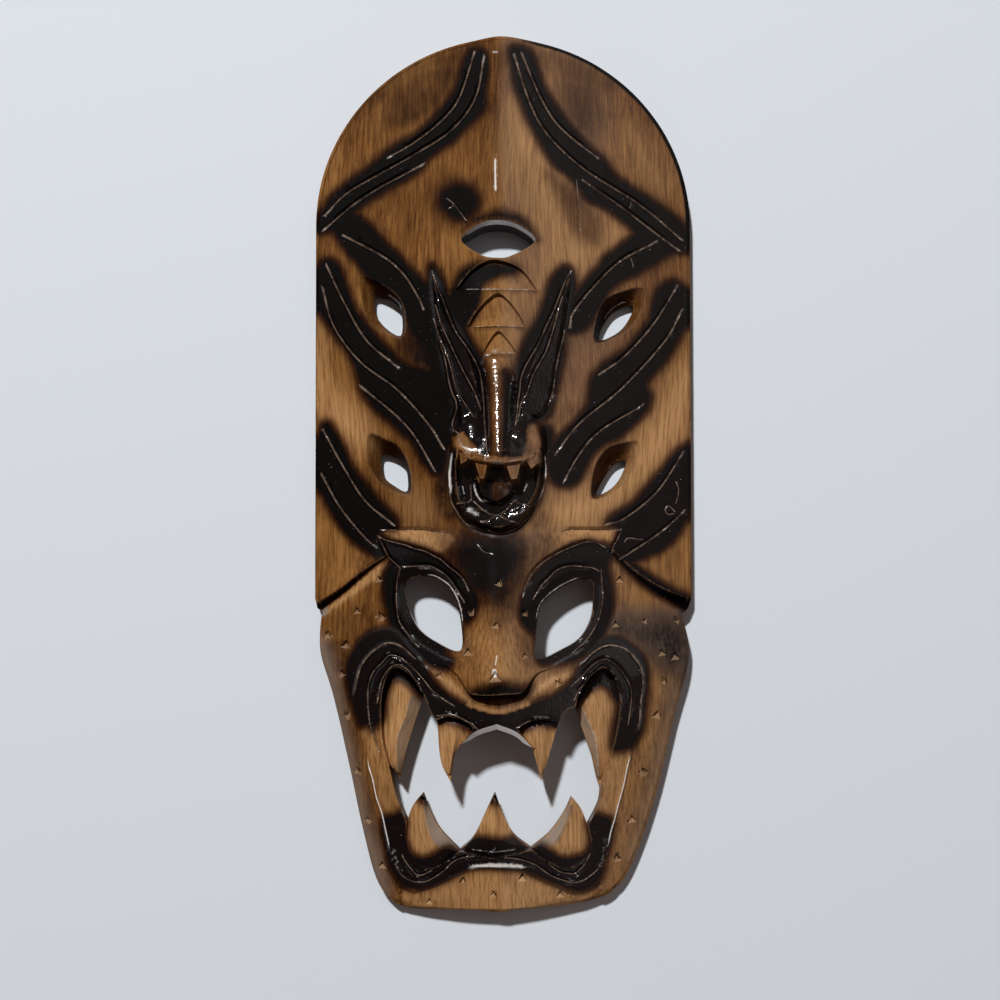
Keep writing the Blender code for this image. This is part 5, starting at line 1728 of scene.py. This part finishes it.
def mixColour(tree, amount, first, second, blend="MIX"):
    inputs = {0: amount, 6: first, 7: second}
    return node(tree, "ShaderNodeMix", inputs, data_type="RGBA", blend_type=blend).outputs[2]


def ramp(tree, value, low, high):
    inputs = {"Value": value, "From Min": low, "From Max": high}
    return node(tree, "ShaderNodeMapRange", inputs, interpolation_type="SMOOTHSTEP").outputs[0]


# Patterns in the wood and its lacquer, and specks that break up the painted glints: how drawn out they
# are along the grain (1 is not at all), how fine, how detailed and how rough
patterns = {
    "sway": (0.5, 9.0, 1.0, 0.5),
    "broad": (0.40, 26.0, 3.0, 0.5),
    "streaks": (0.060, 760.0, 4.0, 0.65),
    "fibres": (0.060, 2100.0, 2.0, 0.6),
    "mottle": (0.45, 190.0, 4.0, 0.6),
    "drift": (0.8, 75.0, 2.0, 0.5),
    "fringe": (0.5, 640.0, 3.0, 0.65),
    "patches": (1.0, 170.0, 3.0, 0.6),
    "speckle": (1.0, 520.0, 3.0, 0.7),
    "glintSpecks": (1.0, 840.0, 2.0, 0.6),
    "lumps": (0.6, 330.0, 3.0, 0.6),
    "pits": (0.7, 620.0, 2.0, 0.6),
}
woodLook = {
    "deep": (0.058, 0.0195, 0.0036, 1),
    "middle": (0.136, 0.053, 0.0125, 1),
    "light": (0.272, 0.128, 0.037, 1),
    "pale": (0.46, 0.255, 0.108, 1),
    "paleDeep": (0.255, 0.122, 0.043, 1),
    "dull": (0.30, 0.27, 0.25, 1),  # painted sheen, greying the right of the front
    "scorch": (0.125, 0.076, 0.064, 1),  # darkens the wood round a burn
    "burnt": (0.0032, 0.0019, 0.0019, 1),
    "bare": (0.205, 0.145, 0.108, 1),
    "bareDark": (0.060, 0.038, 0.028, 1),
    "chip": (0.46, 0.29, 0.17, 1),  # painted light on the side of a nick that faces the lamp
    "worn": (0.30, 0.17, 0.09, 1),
    "grey": (0.24, 0.20, 0.165, 1),  # painted sheen and shade on facets and slopes, such as the teeth's
    "paintedHighlight": (0.80, 0.76, 0.72, 1),  # painted highlights on edges and curves that catch the lamp
}


# Where each step of the finish begins and where it is full
finishSteps = {
    "middleTone": (0.36, 0.52),
    "lightTone": (0.48, 0.64),
    "fibres": (0.48, 0.70),
    "mottle": (0.50, 0.75),
    "front": (0.0085, 0.0120),  # heights over the floor
    "rightSide": (-0.006, 0.004),  # places across the mask
    "farRight": (0.050, 0.085),
    "pale": (0.30, 0.62),
    "scorch": (0.05, 0.95),
    "fringe": (0.02, 0.30),
    "char": (0.34, 0.84),
    "rub": (0.45, 1.0),
    "nickLit": (0.1, 0.5),
    "nickShade": (0.1, 0.6),
    "bare": (0.26, 0.56),
    "bareLight": (0.36, 0.64),
    "glint": (0.60, 0.68),
    "shineEdge": (0.02, 0.25),
    "paintedHighlight": (0.40, 0.88),
    "glintSpecks": (0.735, 0.775),
}
# How strongly each part of the finish shows, or stirs what it is mixed into
strength = {
    "sway": 0.030,
    "streaks": 0.50, "broad": 0.50, "fibres": 0.45, "mottle": 0.40,
    "sheenVeil": 0.11, "lessSheenVeil": 0.08, "burntSheenVeil": 0.016,
    "pale": 0.85,
    "raggedMottle": 0.50, "raggedFibres": 0.35, "ragged": 0.6, "drift": 0.55,
    "feather": 0.55, "fringe": 0.45,
    "rub": 0.30, "nickLit": 0.38, "nickShade": 0.75,
    "bareEdge": 0.9, "bare": 0.90, "glint": 0.45,
    "broken": 1.1, "brokenFrom": 1.25, "paintedHighlight": 0.85, "glintSpecks": 0.4,
}
# The sheen: the wood's own, then the lacquer's on its glossy areas and elsewhere
sheen = {
    "rough": 0.40, "roughStreaks": 0.25, "specular": 0.018,
    "bare": 0.8, "coat": 0.90, "thinCoat": 0.008, "thinCoatRight": 0.06,
    "satin": 0.42, "lessSatin": 0.32, "coatIndex": 1.5,
}
# The feel: each pattern's share in the wood's bumps, how strong and tall they are, and the lacquer's
feel = {
    "fibres": 0.35, "streaks": 0.55, "lumps": 0.6, "strength": 0.35, "height": 0.0004,
    "coat": 0.06, "coatGlossy": 0.16, "coatHeight": 0.0006,
}


def woodFinish():
    material = bpy.data.materials.new("lacquered wood")
    material.use_nodes = True
    tree = material.node_tree
    add, less, times, _, _, most = sums(tree)
    shader = tree.nodes["Principled BSDF"]
    where = tree.nodes.new("ShaderNodeTexCoord").outputs["Object"]
    much = strength

    def pattern(name, place=where):
        along, scale, detail, rough = patterns[name]
        turned = node(tree, "ShaderNodeMapping", {"Vector": place, "Scale": (1.0, along, 1.0)})
        inputs = {"Vector": turned.outputs[0], "Scale": scale, "Detail": detail, "Roughness": rough}
        return node(tree, "ShaderNodeTexNoise", inputs).outputs["Fac"]

    def step(name, value):
        return ramp(tree, value, *finishSteps[name])

    def layer(below, amount, above, blend="MIX"):
        above = woodLook[above] if isinstance(above, str) else above
        return mixColour(tree, amount, below, above, blend)

    parts = node(tree, "ShaderNodeSeparateXYZ", {"Vector": where}).outputs
    bent = add(parts["X"], times(pattern("sway"), much["sway"]))
    inputs = {"X": bent, "Y": parts["Y"], "Z": parts["Z"]}
    grain = node(tree, "ShaderNodeCombineXYZ", inputs).outputs[0]
    broad, streaks, fibres = [pattern(name, grain) for name in ("broad", "streaks", "fibres")]
    mottle = pattern("mottle")
    at = {}
    for name in ("burnt", "browned", "pale", "grey", "bare", "wear", "gloss", "paintedHighlight", "wallShadeAndSheen", "nick"):
        at[name] = node(tree, "ShaderNodeAttribute", attribute_name=name).outputs["Fac"]

    # The plain wood with a painted sheen on the right of the front, its pale areas, and its grey facets of
    # painted sheen and shade
    tone = add(times(streaks, much["streaks"]), times(broad, much["broad"]))
    wood = mixColour(tree, step("middleTone", tone), woodLook["deep"], woodLook["middle"])
    wood = layer(wood, step("lightTone", tone), "light")
    wood = layer(wood, times(step("fibres", fibres), much["fibres"]), "light")
    wood = layer(wood, times(step("mottle", mottle), much["mottle"]), "deep")
    side = times(step("rightSide", parts["X"]), step("front", parts["Z"]))
    sheenVeil = less(much["sheenVeil"], times(step("farRight", parts["X"]), much["lessSheenVeil"]))
    wood = layer(wood, times(side, sheenVeil), "dull")
    pale = mixColour(tree, step("pale", streaks), woodLook["paleDeep"], woodLook["pale"])
    wood = layer(wood, times(at["pale"], much["pale"]), pale)
    wood = layer(wood, at["grey"], "grey")

    # The burns, with uneven edges
    ragged = times(less(mottle, 0.5), much["raggedMottle"])
    ragged = add(ragged, times(less(fibres, 0.5), much["raggedFibres"]))
    drift = times(less(pattern("drift"), 0.5), much["drift"])
    smoky = add(times(ragged, much["ragged"]), drift)
    scorched = step("scorch", add(at["browned"], times(smoky, at["browned"])))
    wood = layer(wood, scorched, "scorch", "MULTIPLY")
    fringe = times(less(pattern("fringe"), 0.5), step("fringe", at["burnt"]))
    feathered = add(times(smoky, much["feather"]), times(fringe, much["fringe"]))
    charred = step("char", add(at["burnt"], feathered))
    wood = layer(wood, charred, "burnt")
    # the painted sheen also greys the charred wood on the right
    wood = layer(wood, times(side, much["burntSheenVeil"]), "dull")

    # Wear: rubbed edges and the bare bottoms of the cuts; and painted light and shade on the nicks, lighter
    # where a facet faces the lamp and darker where it faces away
    wood = layer(wood, times(step("rub", add(at["wear"], ragged)), much["rub"]), "worn")
    wood = layer(wood, times(step("nickLit", at["nick"]), much["nickLit"]), "chip")
    hidden = step("nickShade", times(at["nick"], -1.0))
    wood = layer(wood, times(hidden, much["nickShade"]), "burnt")
    bareHere = step("bare", add(at["bare"], times(smoky, much["bareEdge"])))
    bared = mixColour(tree, step("bareLight", pattern("patches")), woodLook["bareDark"], woodLook["bare"])
    wood = layer(wood, times(bareHere, much["bare"]), bared)

    # Painted highlights and glints, broken up, and the painted shade and sheen on the openings' walls
    speckle = pattern("speckle")
    # painted glints along the bare bottoms of the cuts
    glint = times(step("glint", speckle), times(bareHere, much["glint"]))
    broken = times(less(speckle, 0.5), much["broken"])
    broken = times(broken, step("shineEdge", at["paintedHighlight"]))
    broken = times(broken, less(much["brokenFrom"], at["paintedHighlight"]))
    shining = times(step("paintedHighlight", add(at["paintedHighlight"], broken)), much["paintedHighlight"])
    # painted glints: small light specks sprinkled over the charred wood
    glintSpecks = times(step("glintSpecks", pattern("glintSpecks")), times(charred, much["glintSpecks"]))
    wood = layer(wood, most(most(shining, glint), glintSpecks), "paintedHighlight")
    isWall = number(tree, "GREATER_THAN", at["wallShadeAndSheen"], 0.001)
    wood = layer(wood, isWall, at["wallShadeAndSheen"])
    tree.links.new(wood, shader.inputs["Base Color"])

    rough = add(times(streaks, sheen["roughStreaks"]), sheen["rough"])
    tree.links.new(rough, shader.inputs["Roughness"])
    shader.inputs["Specular IOR Level"].default_value = sheen["specular"]
    glossy = most(most(at["gloss"], isWall), times(at["bare"], sheen["bare"]))
    thin = add(times(side, sheen["thinCoatRight"]), sheen["thinCoat"])
    tree.links.new(add(times(glossy, sheen["coat"]), thin), shader.inputs["Coat Weight"])
    satin = less(sheen["satin"], times(glossy, sheen["lessSatin"]))
    tree.links.new(satin, shader.inputs["Coat Roughness"])
    shader.inputs["Coat IOR"].default_value = sheen["coatIndex"]

    relief = add(times(fibres, feel["fibres"]), times(streaks, feel["streaks"]))
    relief = add(relief, times(pattern("lumps"), feel["lumps"]))
    inputs = {"Height": relief, "Strength": feel["strength"], "Distance": feel["height"]}
    bumps = node(tree, "ShaderNodeBump", inputs)
    tree.links.new(bumps.outputs[0], shader.inputs["Normal"])
    uneven = add(times(glossy, feel["coatGlossy"]), feel["coat"])
    inputs = {"Height": pattern("pits"), "Strength": uneven, "Distance": feel["coatHeight"]}
    bumps = node(tree, "ShaderNodeBump", inputs)
    tree.links.new(bumps.outputs[0], shader.inputs["Coat Normal"])
    return material


def carveMask(finish):
    blank = newObject("blank", buildBlank())
    blank.data.materials.append(finish)
    helpers = [blank]
    tree = carvingTree()
    for name, group in carvedLines.items():
        cut = carving[name]
        lines = lineObject(name + "Lines", group)
        helpers.append(lines)
        step = blank.modifiers.new(name, "NODES")
        step.node_group = tree
        inputs = {"Width": cut["width"], "Depth": cut["depth"], "Bare width": cut["bare"]}
        inputs |= {"Shoulder": cut["shoulder"], "Tapered end": grooveEnds["taper"]}
        setInputs(step, inputs | {"Lines": lines, "Finish": finish})
    points, chip = chipObjects()
    helpers += [points, chip]
    step = blank.modifiers.new("nicks", "NODES")
    step.node_group = nickingTree()
    setInputs(step, {"Points": points, "Chip": chip, "Steepest": nickForm["steepest"], "Finish": finish})
    blank.update_tag()
    bpy.context.view_layer.update()
    graph = bpy.context.evaluated_depsgraph_get()
    data = bpy.data.meshes.new_from_object(blank.evaluated_get(graph), depsgraph=graph)
    for helper in helpers:
        bpy.data.objects.remove(helper)
    data.name = "carvedMask"
    markWear(data)
    data.shade_smooth()
    data.set_sharp_from_angle(angle=math.radians(sharpAngle))
    print("carved mask:", len(data.polygons), "triangles")
    return newObject("carvedMask", data)


floorLook = {"colour": (0.66, 0.71, 0.76, 1), "roughness": 0.75, "sheen": 0.25, "half": 4, "under": 0.0002}


def buildFloor():
    look = bpy.data.materials.new("floor")
    look.use_nodes = True
    shader = look.node_tree.nodes["Principled BSDF"]
    shader.inputs["Base Color"].default_value = floorLook["colour"]
    shader.inputs["Roughness"].default_value = floorLook["roughness"]
    shader.inputs["Specular IOR Level"].default_value = floorLook["sheen"]
    data = bpy.data.meshes.new("floor")
    half, under = floorLook["half"], floorLook["under"]
    corners = [(-half, -half, -under), (half, -half, -under), (half, half, -under), (-half, half, -under)]
    data.from_pydata(corners, [], [(0, 1, 2, 3)])
    floor = newObject("floor", data)
    data.materials.append(look)
    return floor


studio = {
    "camera": (-0.0017466, -0.0955029, 0.876),
    "tilt": math.atan(0.13 / 1.5),
    "lens": 54,
    "sensor": 36,
    "lamps": {
        "lamp": {"at": (-0.27, 0.69, 1.0), "away": 5.0, "size": 0.36, "power": 262},
        "rightFill": {"at": (0.55, 0.25, 1.0), "away": 2.4, "size": 1.5, "power": 2.1},
        "lowFill": {"at": (0.05, -1.0, 0.32), "away": 2.2, "size": 0.75, "power": 2.4},
    },
    "room": 0.085,
    "roomTint": (1.0, 0.70, 0.62, 1),  # warms the shadows
}


def aim(thing, start, target=(0, 0, 0)):
    thing.location = start
    thing.rotation_euler = (Vector(target) - Vector(start)).to_track_quat("-Z", "Y").to_euler()


def buildStudio():
    camera = newObject("camera", bpy.data.cameras.new("camera"))
    camera.data.lens = studio["lens"]
    camera.data.sensor_width = studio["sensor"]
    camera.location = studio["camera"]
    camera.rotation_euler = (studio["tilt"], 0, 0)
    bpy.context.scene.camera = camera
    for name, lit in studio["lamps"].items():
        lamp = newObject(name, bpy.data.lights.new(name, "AREA"))
        lamp.data.energy = lit["power"]
        lamp.data.size = lit["size"]
        aim(lamp, Vector(lit["at"]).normalized() * lit["away"])
    world = bpy.data.worlds.new("room")
    world.use_nodes = True
    light = world.node_tree.nodes["Background"].inputs
    light["Color"].default_value = studio["roomTint"]
    light["Strength"].default_value = studio["room"]
    bpy.context.scene.world = world
    bpy.context.scene.view_settings.view_transform = "Standard"


print("carving the mask")
wood = woodFinish()
carved = carveMask(wood)
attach(carved, "root")
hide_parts("mask")

print("floor, camera and lights")
buildFloor()
buildStudio()
